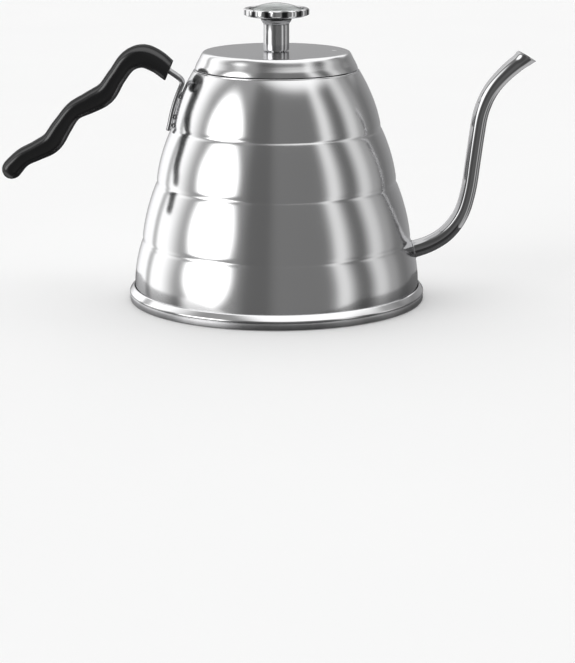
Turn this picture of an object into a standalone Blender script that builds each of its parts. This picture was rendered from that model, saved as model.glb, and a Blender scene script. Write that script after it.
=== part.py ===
"""Gooseneck pour-over kettle with a stepped body and a dial thermometer in its lid.

Frame: the origin is the centre of the flat underside, +Z is up, +X points
towards the spout and -X towards the handle.  Lengths below are millimetres and
are turned into metres where the meshes are made.
"""
import math

import bmesh
import bpy
from mathutils import Matrix, Vector

MM = 0.001
TAU = 2.0 * math.pi
GAP = 0.35                      # clearance kept between neighbouring pieces

# ---------------------------------------------------------------- body
SHEET = 0.6                     # stainless sheet of the body
BODY_SEGMENTS = 40
# each tier of the beehive: radius and height at its top, then at its bottom,
# and how fast it widens at its top (the bottom slope follows from the rest)
TIERS = (
    (40.1, 113.6, 51.3, 85.2, 0.62),
    (51.3, 85.2, 59.1, 58.2, 0.48),
    (59.1, 58.2, 66.4, 29.7, 0.42),
    (66.4, 29.7, 70.3, 8.0, 0.36),
)
BODY_BOTTOM_Z = 2.3             # the wall's lower end, tucked inside the base cap
LEDGE_Z = 113.6                 # flat ledge that the lid stands on
MOUTH_RADIUS = 35.0             # clear radius of the mouth
NECK_DEPTH = 4.6                # turned-down collar of the mouth

# ---------------------------------------------------------------- base
BAND_RADIUS = 72.9              # plain band under the bead
BAND_TOP_Z = 2.9
BEAD_RADIUS = 73.0              # widest place of the whole base
BEAD_Z = 4.2
CAP_TOP_Z = 7.2                 # the shoulder of the bead ends here, against the wall
CAP_FLOOR = 0.7
CORE_RADIUS = 68.1
CORE_THICKNESS = 3.8
PAN_TOP_Z = 5.8

# ---------------------------------------------------------------- spout
SPOUT_WALL = 0.55
SPOUT_PATH = ((67.3, 23.7), (75.9, 26.6), (84.6, 32.3), (91.4, 42.0), (94.8, 54.0),
              (96.6, 67.5), (98.3, 81.0), (100.2, 92.5), (104.6, 102.9), (112.2, 111.9),
              (122.0, 119.9))
SPOUT_RADII = ((0.0, 4.30), (0.12, 4.15), (0.35, 3.82), (0.85, 3.85), (0.95, 4.05), (1.0, 4.65))
SPOUT_RINGS = 22
SPOUT_SIDES = 12
TIP_NORMAL = (0.50, 0.866)      # the lip is cut across this direction

# ---------------------------------------------------------------- handle
GRIP_PATH = ((-52.2, 112.7), (-58.4, 117.4), (-65.0, 119.9), (-71.7, 117.6), (-77.9, 109.8),
             (-83.5, 101.7), (-91.2, 97.2), (-99.1, 93.0), (-105.2, 85.1), (-110.4, 77.6),
             (-117.4, 73.6), (-124.6, 70.0), (-129.5, 65.2), (-133.1, 60.9))
GRIP_FACE = (0.92, 0.0, -0.39)  # the front face is cut square to this direction
GRIP_END = 5.6                  # length over which the far end is rounded off
GRIP_THICKNESS = 10.5
GRIP_TAPER = 0.8                # how much thinner the far end is
GRIP_SWELL = 0.75               # the crests of the wave are thicker than its hollows
GRIP_WAVE = 31.5                # spacing of the crests along the grip
GRIP_CREST = 14.0               # place of the first crest
GRIP_WIDTH = 17.0
GRIP_RINGS = 24
GRIP_SIDES = 16
WIRE_DIAMETER = 2.4
WIRE_NECK_HALF = 2.3            # half the spacing of the two legs at the grip
WIRE_FOOT_HALF = 8.9            # half their spacing at the feet
WIRE_FOOT_Z = 84.6
WIRE_DEPTH = 26.0               # how far the hairpin reaches into the grip
GRIP_PIN_DIAMETER = 1.5
GRIP_PIN_LENGTH = 7.4

# ---------------------------------------------------------------- lid
LID_TOP_Z = 122.4
LID_EDGE = ((33.3, 122.4), (34.9, 122.28), (35.7, 122.0))
LID_SKIRT = ((36.1, 121.55), (36.65, 120.6), (37.35, 119.2), (38.15, 117.7), (39.0, 116.1),
             (39.55, 114.7))
LID_SKIRT_Z = 114.0
LID_SHEET = 0.6
RING_RADIUS = 34.6              # the plug ring that enters the mouth
RING_BOTTOM_Z = 106.0
VENT_X = 28.0
VENT_DIAMETER = 2.0
STEM_HOLE = 4.35

# ---------------------------------------------------------------- thermometer
STEM_RADIUS = 6.3
STEM_TOP_Z = 137.9
SPIGOT_RADIUS = 4.0
HEAD_RADIUS = 16.0
HEAD_LOBES = 12
BEZEL_BOTTOM_Z = 139.8
BEZEL_TOP_Z = 143.05
LENS_EDGE_Z = 142.4
LENS_APEX_Z = 145.7
CASE_TOP_Z = 140.6
DIAL_Z = 139.85
HUB_LOW_Z = 141.0
PROBE_RADIUS = 2.25
PROBE_BORE = 1.85
PROBE_TIP_Z = 38.0
SPINDLE_RADIUS = 0.5
COIL_RADIUS = 1.2
COIL_TURNS = 7
COIL_BOTTOM_Z = 42.4
COIL_TOP_Z = 60.0
DIAL_SWEEP = math.radians(270.0)
DIAL_ZERO = math.radians(-135.0)
DIAL_SPAN_C = 100.0
REST_C = 20.0


# ================================================================ helpers
def clear_scene():
    for ob in list(bpy.data.objects):
        bpy.data.objects.remove(ob, do_unlink=True)


def material(name, colour, roughness, metallic, transmission=0.0):
    mat = bpy.data.materials.get(name)
    if mat:
        return mat
    mat = bpy.data.materials.new(name)
    mat.use_nodes = True
    bsdf = mat.node_tree.nodes["Principled BSDF"]
    bsdf.inputs["Base Color"].default_value = (*colour, 1.0)
    bsdf.inputs["Roughness"].default_value = roughness
    bsdf.inputs["Metallic"].default_value = metallic
    bsdf.inputs["Transmission Weight"].default_value = transmission
    return mat


def add_object(name, bm, mat, origin=(0.0, 0.0, 0.0), angle=math.radians(35.0), parent=None):
    """Make an object from a bmesh given in millimetres, with its origin moved."""
    bmesh.ops.remove_doubles(bm, verts=bm.verts, dist=0.0005)
    bmesh.ops.recalc_face_normals(bm, faces=bm.faces)
    if bm.calc_volume(signed=True) < 0.0:
        bmesh.ops.reverse_faces(bm, faces=bm.faces)
    bmesh.ops.transform(bm, matrix=Matrix.Scale(MM, 4) @ Matrix.Translation(-Vector(origin)),
                        verts=bm.verts)
    mesh = bpy.data.meshes.new(name)
    bm.to_mesh(mesh)
    bm.free()
    mesh.shade_smooth()
    mesh.set_sharp_from_angle(angle=angle)
    mesh.materials.append(mat)
    ob = bpy.data.objects.new(name, mesh)
    bpy.context.scene.collection.objects.link(ob)
    ob.location = Vector(origin) * MM
    if parent is not None:
        ob.parent = parent
        ob.location = (Vector(origin) - Vector(parent.location) / MM) * MM
    return ob


def turned(profile, segments, lobes=None):
    """A closed (r, z) outline swept round the Z axis; r = 0 makes a pole."""
    bm = bmesh.new()
    rings = []
    for r, z in profile:
        if r < 1e-6:
            rings.append([bm.verts.new((0.0, 0.0, z))])
            continue
        ring = []
        for k in range(segments):
            a = TAU * k / segments
            rr = r + (lobes(r, z, a) if lobes else 0.0)
            ring.append(bm.verts.new((rr * math.cos(a), rr * math.sin(a), z)))
        rings.append(ring)
    for i in range(len(rings)):
        one, two = rings[i], rings[(i + 1) % len(rings)]
        if len(one) == 1 and len(two) == 1:
            continue
        for k in range(segments):
            n = (k + 1) % segments
            if len(one) == 1:
                bm.faces.new((one[0], two[k], two[n]))
            elif len(two) == 1:
                bm.faces.new((one[k], one[n], two[0]))
            else:
                bm.faces.new((one[k], one[n], two[n], two[k]))
    return bm


def arc(cx, cz, radius, start, end, steps):
    """Points of an arc in the (r, z) plane, angles in degrees."""
    return [(cx + radius * math.cos(math.radians(start + (end - start) * i / steps)),
             cz + radius * math.sin(math.radians(start + (end - start) * i / steps)))
            for i in range(steps + 1)]


def spline(points, count):
    """Evenly spaced points on a centripetal Catmull-Rom curve."""
    pts = [Vector(p) for p in points]
    pts = [pts[0] * 2 - pts[1]] + pts + [pts[-1] * 2 - pts[-2]]
    dense = []
    for i in range(1, len(pts) - 2):
        p0, p1, p2, p3 = pts[i - 1:i + 3]
        t0 = 0.0
        t1 = t0 + (p1 - p0).length ** 0.5
        t2 = t1 + (p2 - p1).length ** 0.5
        t3 = t2 + (p3 - p2).length ** 0.5
        for j in range(24):
            t = t1 + (t2 - t1) * j / 24.0
            a1 = p0 * ((t1 - t) / (t1 - t0)) + p1 * ((t - t0) / (t1 - t0))
            a2 = p1 * ((t2 - t) / (t2 - t1)) + p2 * ((t - t1) / (t2 - t1))
            a3 = p2 * ((t3 - t) / (t3 - t2)) + p3 * ((t - t2) / (t3 - t2))
            b1 = a1 * ((t2 - t) / (t2 - t0)) + a2 * ((t - t0) / (t2 - t0))
            b2 = a2 * ((t3 - t) / (t3 - t1)) + a3 * ((t - t1) / (t3 - t1))
            dense.append(b1 * ((t2 - t) / (t2 - t1)) + b2 * ((t - t1) / (t2 - t1)))
    dense.append(pts[-2])
    lengths = [0.0]
    for a, b in zip(dense, dense[1:]):
        lengths.append(lengths[-1] + (b - a).length)
    total = lengths[-1]
    out, j = [], 0
    for i in range(count):
        s = total * i / (count - 1)
        while j < len(lengths) - 2 and lengths[j + 1] < s:
            j += 1
        f = (s - lengths[j]) / max(lengths[j + 1] - lengths[j], 1e-9)
        out.append(dense[j].lerp(dense[j + 1], min(max(f, 0.0), 1.0)))
    return out, total


def tangents(points):
    out = []
    for i in range(len(points)):
        a = points[max(i - 1, 0)]
        b = points[min(i + 1, len(points) - 1)]
        out.append((b - a).normalized())
    return out


def table(pairs, s):
    """Smooth reading of a short (place, value) table."""
    for (s0, v0), (s1, v1) in zip(pairs, pairs[1:]):
        if s <= s1:
            f = (s - s0) / (s1 - s0)
            f = f * f * (3.0 - 2.0 * f)
            return v0 + (v1 - v0) * f
    return pairs[-1][1]


def loft(rings, cap_start=True, cap_end=True):
    """Skin between rings of equal size; the ends close with a fan."""
    bm = bmesh.new()
    vs = [[bm.verts.new(p) for p in ring] for ring in rings]
    n = len(vs[0])
    for one, two in zip(vs, vs[1:]):
        for k in range(n):
            m = (k + 1) % n
            bm.faces.new((one[k], one[m], two[m], two[k]))
    if cap_start:
        bm.faces.new(list(reversed(vs[0])))
    if cap_end:
        bm.faces.new(vs[-1])
    return bm, vs


def round_rod(points, radius, sides):
    """A round wire along 3-D points with a fixed side vector, flat ends."""
    dirs = tangents(points)
    side = dirs[0].orthogonal().normalized()
    rings = []
    for p, d in zip(points, dirs):
        side = (side - d * side.dot(d)).normalized()
        other = d.cross(side)
        rings.append([p + side * (radius * math.cos(TAU * k / sides))
                      + other * (radius * math.sin(TAU * k / sides)) for k in range(sides)])
    bm, _ = loft(rings)
    return bm


# ================================================================ profiles
def tier_points(tier, steps):
    """Outline of one bulged tier, from its top to its bottom."""
    r0, z0, r1, z1, slope0 = tier
    height = z0 - z1
    slope1 = 2.0 * (r1 - r0) / height - slope0
    out = []
    for i in range(steps + 1):
        t = i / steps
        out.append((r0 + height * (slope0 * t + (slope1 - slope0) * t * t / 2.0), z0 - height * t))
    return out


def wall_radius(z):
    """Outer radius of the body wall at a height."""
    for r0, z0, r1, z1, slope0 in TIERS:
        if z >= z1:
            height = z0 - z1
            slope1 = 2.0 * (r1 - r0) / height - slope0
            t = (z0 - z) / height
            return r0 + height * (slope0 * t + (slope1 - slope0) * t * t / 2.0)
    return TIERS[-1][2]


def wall_line(steps):
    """The tiers from top to bottom, with a small rolled crease between two tiers."""
    line = []
    for i, tier in enumerate(TIERS):
        pts = tier_points(tier, steps)
        if i:
            pts = pts[1:]
            r, z = line.pop()
            line += [(r - 0.10, z + 0.55), (r + 0.18, z - 0.55)]
        line += pts
    return line + [(TIERS[-1][2], BODY_BOTTOM_Z)]


def body_outline():
    outer = wall_line(3)
    # the same line, one sheet thickness further in
    inner = []
    line = outer
    for i in range(len(line)):
        a = Vector(line[max(i - 1, 0)])
        b = Vector(line[min(i + 1, len(line) - 1)])
        d = (b - a).normalized()
        inner.append((line[i][0] + d.y * SHEET, line[i][1] - d.x * SHEET))
    inner[-1] = (TIERS[-1][2] - SHEET, BODY_BOTTOM_Z)
    inner = [p for p in inner if p[1] < LEDGE_Z - SHEET - 0.5]
    r_ledge = TIERS[0][0]
    neck_out = MOUTH_RADIUS + SHEET
    rim = [(MOUTH_RADIUS + 0.5, LEDGE_Z), (MOUTH_RADIUS, LEDGE_Z - 0.5),
           (MOUTH_RADIUS, LEDGE_Z - NECK_DEPTH), (neck_out, LEDGE_Z - NECK_DEPTH),
           (neck_out, LEDGE_Z - SHEET)]
    ledge = [(r_ledge - 0.7, LEDGE_Z)]
    outer[0] = (r_ledge, LEDGE_Z - 0.45)
    # down the outside, back up the inside, then round the mouth
    return outer + list(reversed(inner)) + [(r_ledge - 0.4, LEDGE_Z - SHEET)] + \
        list(reversed(rim)) + ledge


# ================================================================ kettle
def spout_frames(count):
    pts, total = spline([(x, 0.0, z) for x, z in SPOUT_PATH], count)
    dirs = tangents(pts)
    return pts, dirs, total


def spout_ring(p, d, radius, sides, plane_normal=None):
    """A ring square to d at p, or slid along d onto a slanted plane through p."""
    side = Vector((0.0, 1.0, 0.0))
    other = d.cross(side).normalized()
    ring = []
    for k in range(sides):
        a = TAU * k / sides
        q = p + side * (radius * math.cos(a)) + other * (radius * math.sin(a))
        if plane_normal is not None:
            q = q - d * ((q - p).dot(plane_normal) / d.dot(plane_normal))
        ring.append(q)
    return ring


def make_body(mat):
    bm = turned(body_outline(), BODY_SEGMENTS)
    body = add_object("kettle_body", bm, mat)
    # the hole that the spout is let into
    p0 = Vector((SPOUT_PATH[0][0], 0.0, SPOUT_PATH[0][1]))
    p1 = Vector((SPOUT_PATH[1][0], 0.0, SPOUT_PATH[1][1]))
    d = (p1 - p0).normalized()
    radius = SPOUT_RADII[0][1] + GAP
    rings = [spout_ring(p0 + d * t, d, radius, 24) for t in (-9.0, 7.0)]
    bm, _ = loft(rings)
    cutter = add_object("spout_hole_cutter", bm, mat)
    cutter.hide_render = True
    cutter.display_type = 'WIRE'
    mod = body.modifiers.new("spout_hole", 'BOOLEAN')
    mod.operation = 'DIFFERENCE'
    mod.solver = 'EXACT'
    mod.object = cutter
    return body


def make_base(steel, aluminium):
    # inner pan: closes the body and carries the core
    r_in = TIERS[-1][2] - SHEET - GAP
    pan = [(0.0, PAN_TOP_Z), (r_in - 1.0, PAN_TOP_Z), (r_in - 0.3, PAN_TOP_Z - 0.3),
           (r_in, PAN_TOP_Z - 1.0), (r_in, BODY_BOTTOM_Z), (r_in - 0.7, BODY_BOTTOM_Z),
           (r_in - 0.7, PAN_TOP_Z - 1.2), (r_in - 1.1, PAN_TOP_Z - SHEET), (0.0, PAN_TOP_Z - SHEET)]
    add_object("bottom_pan", turned(pan, BODY_SEGMENTS), steel)
    z0 = CAP_FLOOR + GAP
    z1 = z0 + CORE_THICKNESS
    core = [(0.0, z1), (CORE_RADIUS - 0.8, z1), (CORE_RADIUS, z1 - 0.8), (CORE_RADIUS, z0 + 0.6),
            (CORE_RADIUS - 0.6, z0), (0.0, z0)]
    add_object("heat_core", turned(core, BODY_SEGMENTS), aluminium)
    # outer cap with the rolled bead that grips the body
    wall_in = TIERS[-1][2] + GAP
    band = BAND_RADIUS
    bead = BEAD_RADIUS
    cap = [(0.0, 0.0), (band - 0.7, 0.0), (band - 0.15, 0.25), (band, 0.8), (band, BAND_TOP_Z)]
    # a fine groove, the rounded edge of the bead and its slanted shoulder
    cap += [(bead - 0.5, BAND_TOP_Z + 0.5), (bead - 0.15, BEAD_Z - 0.45), (bead, BEAD_Z),
            (bead - 0.15, BEAD_Z + 0.5), (bead - 1.55, CAP_TOP_Z - 0.35), (bead - 2.05, CAP_TOP_Z)]
    cap += [(wall_in, CAP_TOP_Z), (wall_in, 1.7), (wall_in - 0.8, CAP_FLOOR), (0.0, CAP_FLOOR)]
    add_object("base_cap", turned(cap, BODY_SEGMENTS), steel)


def make_spout(mat):
    pts, dirs, total = spout_frames(SPOUT_RINGS)
    tip_n = Vector((TIP_NORMAL[0], 0.0, TIP_NORMAL[1])).normalized()
    outer, inner = [], []
    last = SPOUT_RINGS - 1
    for i, (p, d) in enumerate(zip(pts, dirs)):
        r = table(SPOUT_RADII, i / last)
        plane = tip_n if i == last else None
        if i == 0:
            plane = Vector((1.0, 0.0, 0.12)).normalized()   # follows the wall
        outer.append(spout_ring(p, d, r, SPOUT_SIDES, plane))
        inner.append(spout_ring(p, d, r - SPOUT_WALL, SPOUT_SIDES, plane))
    bm = bmesh.new()
    vo = [[bm.verts.new(q) for q in ring] for ring in outer]
    vi = [[bm.verts.new(q) for q in ring] for ring in inner]
    n = SPOUT_SIDES
    for rows, flip in ((vo, False), (vi, True)):
        for one, two in zip(rows, rows[1:]):
            for k in range(n):
                m = (k + 1) % n
                f = (one[k], one[m], two[m], two[k])
                bm.faces.new(tuple(reversed(f)) if flip else f)
    for row_o, row_i, flip in ((vo[0], vi[0], True), (vo[-1], vi[-1], False)):
        for k in range(n):
            m = (k + 1) % n
            f = (row_o[k], row_o[m], row_i[m], row_i[k])
            bm.faces.new(tuple(reversed(f)) if flip else f)
    add_object("spout_tube", bm, mat)


# ================================================================ handle
def grip_frames(count):
    pts, total = spline([(x, 0.0, z) for x, z in GRIP_PATH], count)
    return pts, tangents(pts), total


def make_grip(mat):
    dense, dense_dirs, total = grip_frames(400)
    body = total - GRIP_END
    places = [body * i / (GRIP_RINGS - 1) for i in range(GRIP_RINGS)]
    places += [body + GRIP_END * math.sin(math.radians(a)) for a in (22, 42, 58, 71, 82)]
    side = Vector((0.0, 1.0, 0.0))
    face = Vector(GRIP_FACE).normalized()
    rings = []
    for s in places:
        k = min(int(round(s / total * 399)), 399)
        p, d = dense[k], dense_dirs[k]
        # full section along the grip, drawn in round the far end
        scale = 1.0
        if s > body:
            scale = math.sqrt(1.0 - ((s - body) / GRIP_END) ** 2)
        thick = GRIP_THICKNESS - GRIP_TAPER * s / total \
            + GRIP_SWELL * math.cos(TAU * (s - GRIP_CREST) / GRIP_WAVE)
        half_t = thick / 2.0 * scale
        half_w = GRIP_WIDTH / 2.0 * (0.95 + 0.05 * math.cos(TAU * s / total)) * (0.35 + 0.65 * scale)
        up = side.cross(d).normalized()
        ring = []
        for k in range(GRIP_SIDES):
            a = TAU * (k + 0.5) / GRIP_SIDES
            c, q = math.cos(a), math.sin(a)
            e = 2.0 / 3.8
            v = p + side * (half_w * math.copysign(abs(c) ** e, c)) \
                + up * (half_t * math.copysign(abs(q) ** e, q))
            if s == 0.0:
                v = v - d * ((v - p).dot(face) / d.dot(face))
            ring.append(v)
        rings.append(ring)
    bm, _ = loft(rings)
    grip = add_object("handle_grip", bm, mat)
    return grip


def wire_path():
    """Centre line of the hairpin: up one leg, round inside the grip, down the other."""
    half = WIRE_DIAMETER / 2.0
    stand = half + GAP
    leg = []
    # feet to the bend, lying along the body
    steps = 7
    z_top = 105.6
    for i in range(steps):
        t = i / (steps - 1)
        z = WIRE_FOOT_Z + (z_top - WIRE_FOOT_Z) * t
        y = WIRE_FOOT_HALF + (WIRE_NECK_HALF + 0.5 - WIRE_FOOT_HALF) * t ** 1.15
        slope = (wall_radius(z - 0.5) - wall_radius(z + 0.5))
        reach = stand * math.sqrt(1.0 + slope * slope) + 0.1
        r = wall_radius(z) + reach
        leg.append(Vector((-math.sqrt(r * r - y * y), y, z)))
    # over the bend and into the grip
    pts, dirs, total = grip_frames(160)
    inside = [(p, d) for i, (p, d) in enumerate(zip(pts, dirs))
              if total * i / 159.0 <= WIRE_DEPTH - WIRE_NECK_HALF]
    p_in, d_in = inside[0]
    d_in = (inside[3][0] - p_in).normalized()
    leg.append(Vector((-45.85, WIRE_NECK_HALF + 0.15, 107.2)))
    leg.append(Vector((-46.55, WIRE_NECK_HALF, 108.45)))
    leg.append(Vector((-48.0, WIRE_NECK_HALF, 109.75)))
    count = 9
    for i in range(count):
        p, d = inside[int(round(i * (len(inside) - 1) / (count - 1)))]
        leg.append(Vector((p.x, WIRE_NECK_HALF, p.z)))
    centre, direction = inside[-1]
    loop = []
    for i in range(1, 6):
        a = math.pi * i / 6.0
        loop.append(Vector((centre.x, 0.0, centre.z)) + direction * (WIRE_NECK_HALF * math.sin(a))
                    + Vector((0.0, WIRE_NECK_HALF * math.cos(a), 0.0)))
    other = [Vector((p.x, -p.y, p.z)) for p in reversed(leg)]
    return leg + loop + other, centre, direction


def make_handle(steel, grip_mat):
    grip = make_grip(grip_mat)
    path, centre, direction = wire_path()
    add_object("handle_wire", round_rod(path, WIRE_DIAMETER / 2.0, 8), steel,
               angle=math.radians(50.0))
    # socket in the grip, a flat slot just larger than the hairpin
    side = Vector((0.0, 1.0, 0.0))
    pts, dirs, total = grip_frames(160)
    half = WIRE_DIAMETER / 2.0 + GAP
    reach = WIRE_DEPTH + WIRE_DIAMETER / 2.0 + GAP + 0.6
    slot = [(p, d) for i, (p, d) in enumerate(zip(pts, dirs)) if total * i / 159.0 <= reach]
    step = 5
    keep = slot[::step] + ([slot[-1]] if (len(slot) - 1) % step else [])
    first = keep[0]
    rings = []
    for j, (p, d) in enumerate([(first[0] - first[1] * 3.0, first[1])] + keep):
        up = side.cross(d).normalized()
        wide = WIRE_NECK_HALF + half
        ring = []
        for k in range(16):
            a = TAU * k / 16
            y = math.copysign(WIRE_NECK_HALF, math.cos(a)) if abs(math.cos(a)) > 1e-6 else 0.0
            ring.append(p + side * (y + half * 1.02 * math.cos(a)) + up * (half * 1.02 * math.sin(a)))
        rings.append(ring)
    bm, _ = loft(rings)
    cutter = add_object("grip_slot_cutter", bm, grip_mat)
    cutter.hide_render = True
    cutter.display_type = 'WIRE'
    mod = grip.modifiers.new("slot", 'BOOLEAN')
    mod.operation = 'DIFFERENCE'
    mod.solver = 'EXACT'
    mod.object = cutter
    # cross pin through the eye of the hairpin, pressed in from underneath
    up = side.cross(direction).normalized()
    if up.z > 0.0:
        up = -up
    eye = Vector((centre.x, 0.0, centre.z)) - direction * 0.2
    half_t = GRIP_THICKNESS / 2.0
    end_up = half_t * 0.55
    for name, radius, low in (("pin_hole_cutter", GRIP_PIN_DIAMETER / 2.0 + GAP, half_t + 3.0),
                              ("grip_pin", GRIP_PIN_DIAMETER / 2.0, GRIP_PIN_LENGTH - end_up)):
        extra = GAP if name != "grip_pin" else 0.0
        rings = []
        for t in (-(end_up + extra), low):
            c = eye + up * t
            rings.append([c + side * (radius * math.cos(TAU * k / 12))
                          + direction * (radius * math.sin(TAU * k / 12)) for k in range(12)])
        bm, _ = loft(rings)
        ob = add_object(name, bm, steel)
        if name != "grip_pin":
            ob.hide_render = True
            ob.display_type = 'WIRE'
            mod = grip.modifiers.new("pin_hole", 'BOOLEAN')
            mod.operation = 'DIFFERENCE'
            mod.solver = 'EXACT'
            mod.object = ob


# ================================================================ lid
def make_lid(steel, mat_ring, lid):
    t = LID_SHEET
    outer = [(STEM_HOLE, LID_TOP_Z), (18.0, LID_TOP_Z)] + list(LID_EDGE) + list(LID_SKIRT)
    outer += [(LID_SKIRT[-1][0] + 0.15, LID_SKIRT_Z + 0.15)]
    inner = [(LID_SKIRT[-1][0], LID_SKIRT_Z), (LID_SKIRT[-1][0] - t, LID_SKIRT_Z + 0.2)]
    # the skirt again, one sheet thickness further in
    for i in range(len(LID_SKIRT) - 1, -1, -2):
        a = Vector(LID_SKIRT[max(i - 1, 0)])
        b = Vector(LID_SKIRT[min(i + 1, len(LID_SKIRT) - 1)])
        d = (b - a).normalized()
        inner.append((LID_SKIRT[i][0] + d.y * t, LID_SKIRT[i][1] - d.x * t))
    inner += [(LID_EDGE[0][0] + 0.4, LID_TOP_Z - t), (18.0, LID_TOP_Z - t), (STEM_HOLE, LID_TOP_Z - t)]
    cover = add_object("lid_cover", turned(outer + inner, BODY_SEGMENTS), steel, parent=lid)
    # steam vent on the spout side
    bm = bmesh.new()
    bmesh.ops.create_cone(bm, cap_ends=True, segments=16, radius1=VENT_DIAMETER / 2.0,
                          radius2=VENT_DIAMETER / 2.0, depth=6.0,
                          matrix=Matrix.Translation((VENT_X, 0.0, LID_TOP_Z)))
    cutter = add_object("vent_cutter", bm, steel)
    cutter.hide_render = True
    cutter.display_type = 'WIRE'
    mod = cover.modifiers.new("vent", 'BOOLEAN')
    mod.operation = 'DIFFERENCE'
    mod.solver = 'EXACT'
    mod.object = cutter
    # plug ring: welded under the cover by its flange, its skirt enters the mouth
    z1 = LID_TOP_Z - LID_SHEET - GAP
    r = RING_RADIUS
    w = 0.6
    ring = [(30.5, z1), (r - 1.2, z1), (r - 0.35, z1 - 0.35), (r, z1 - 1.2), (r, RING_BOTTOM_Z + 1.2),
            (r - 0.35, RING_BOTTOM_Z), (r - 0.35 - w, RING_BOTTOM_Z), (r - w, RING_BOTTOM_Z + 1.2),
            (r - w, z1 - 1.2), (r - 1.2 - 0.2, z1 - w), (30.5, z1 - w)]
    add_object("lid_inner_ring", turned(ring, BODY_SEGMENTS), mat_ring, parent=lid)


def make_stem(steel, rubber, lid):
    z0 = LID_TOP_Z + GAP
    under = LID_TOP_Z - LID_SHEET
    bore = PROBE_RADIUS + GAP
    s = STEM_RADIUS
    spigot_end = under - 7.4
    prof = [(bore, STEM_TOP_Z), (7.3, STEM_TOP_Z), (7.5, STEM_TOP_Z - 0.35), (6.9, STEM_TOP_Z - 0.95),
            (s, STEM_TOP_Z - 1.9), (s, z0 + 0.35), (s - 0.3, z0), (SPIGOT_RADIUS, z0),
            (SPIGOT_RADIUS, spigot_end + 0.5), (SPIGOT_RADIUS - 0.5, spigot_end), (bore, spigot_end)]
    add_object("knob_stem", turned(prof, 24), steel, parent=lid)
    hole = SPIGOT_RADIUS + GAP
    seal_top = under - GAP
    seal_bottom = seal_top - 1.1
    seal = [(hole, seal_top), (8.0, seal_top), (8.3, seal_top - 0.3), (8.3, seal_bottom + 0.3),
            (8.0, seal_bottom), (hole, seal_bottom)]
    add_object("stem_seal", turned(seal, 24), rubber, parent=lid)
    wt = seal_bottom - GAP
    washer = [(hole, wt), (8.4, wt), (8.4, wt - 0.8), (hole, wt - 0.8)]
    add_object("stem_washer", turned(washer, 24), steel, parent=lid)
    nt = wt - 0.8 - GAP
    nb = nt - 3.2
    flats = 12.0 / 2.0

    def hexagon(r, z, a):
        if r < 5.5:
            return 0.0
        turn = (a % (TAU / 6.0)) - TAU / 12.0
        return flats / math.cos(turn) - r if r > 6.2 else 0.0
    nut = [(hole, nt), (6.0, nt), (6.9, nt - 0.45), (6.9, nb + 0.45), (6.0, nb), (hole, nb)]
    add_object("stem_nut", turned(nut, 24, hexagon), steel, parent=lid)


def make_head(steel, white, glass, rubber, lid):
    bore = PROBE_RADIUS + GAP
    z = STEM_TOP_Z + GAP
    case = [(bore, z), (7.6, z), (8.6, z + 0.25), (13.9, z + 0.95), (14.6, z + 1.35), (14.75, z + 1.8),
            (14.75, CASE_TOP_Z), (14.0, CASE_TOP_Z), (14.0, z + 2.0), (13.4, z + 1.6), (8.4, z + 0.85),
            (bore, z + 0.75)]
    add_object("dial_case", turned(case, 32), steel, parent=lid)
    dial = [(0.95, DIAL_Z + 0.8), (13.3, DIAL_Z + 0.8), (13.3, DIAL_Z + 0.35), (0.95, DIAL_Z + 0.35)]
    add_object("dial_plate", turned(dial, 32), white, parent=lid)
    low = LENS_EDGE_Z - 0.7
    gasket = [(14.05, low - GAP), (14.7, low - GAP), (14.7, CASE_TOP_Z + GAP), (14.05, CASE_TOP_Z + GAP)]
    add_object("lens_gasket", turned(gasket, 32), rubber, parent=lid)
    # domed lens with a flat edge under the bezel
    top = LENS_EDGE_Z
    dome = 13.0
    rise = LENS_APEX_Z - top
    lens = [(0.0, top + rise)]
    lens += [(dome * i / 5.0, top + rise * (1.0 - (i / 5.0) ** 2)) for i in range(1, 6)]
    lens += [(14.7, top), (14.7, low)]
    lens += [(dome * i / 4.0, low + (rise - 0.1) * (1.0 - (i / 4.0) ** 2)) for i in range(4, 0, -1)]
    lens += [(0.0, low + rise - 0.1)]
    add_object("dial_lens", turned(lens, 32), glass, parent=lid)

    # fluted bezel that clamps the lens on the case
    def flutes(r, zz, a):
        if r < 15.3:
            return 0.0
        return -0.6 * (0.5 - 0.5 * math.cos(HEAD_LOBES * a))
    inn = 15.1
    bezel = [(13.4, BEZEL_TOP_Z), (14.9, BEZEL_TOP_Z), (15.6, BEZEL_TOP_Z - 0.15),
             (HEAD_RADIUS, BEZEL_TOP_Z - 0.7), (HEAD_RADIUS, BEZEL_BOTTOM_Z + 0.6),
             (15.8, BEZEL_BOTTOM_Z), (inn, BEZEL_BOTTOM_Z), (inn, BEZEL_TOP_Z - 0.35),
             (14.9, BEZEL_TOP_Z - 0.3), (13.4, BEZEL_TOP_Z - 0.3)]
    add_object("dial_bezel", turned(bezel, 48, flutes), steel, parent=lid)


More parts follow.
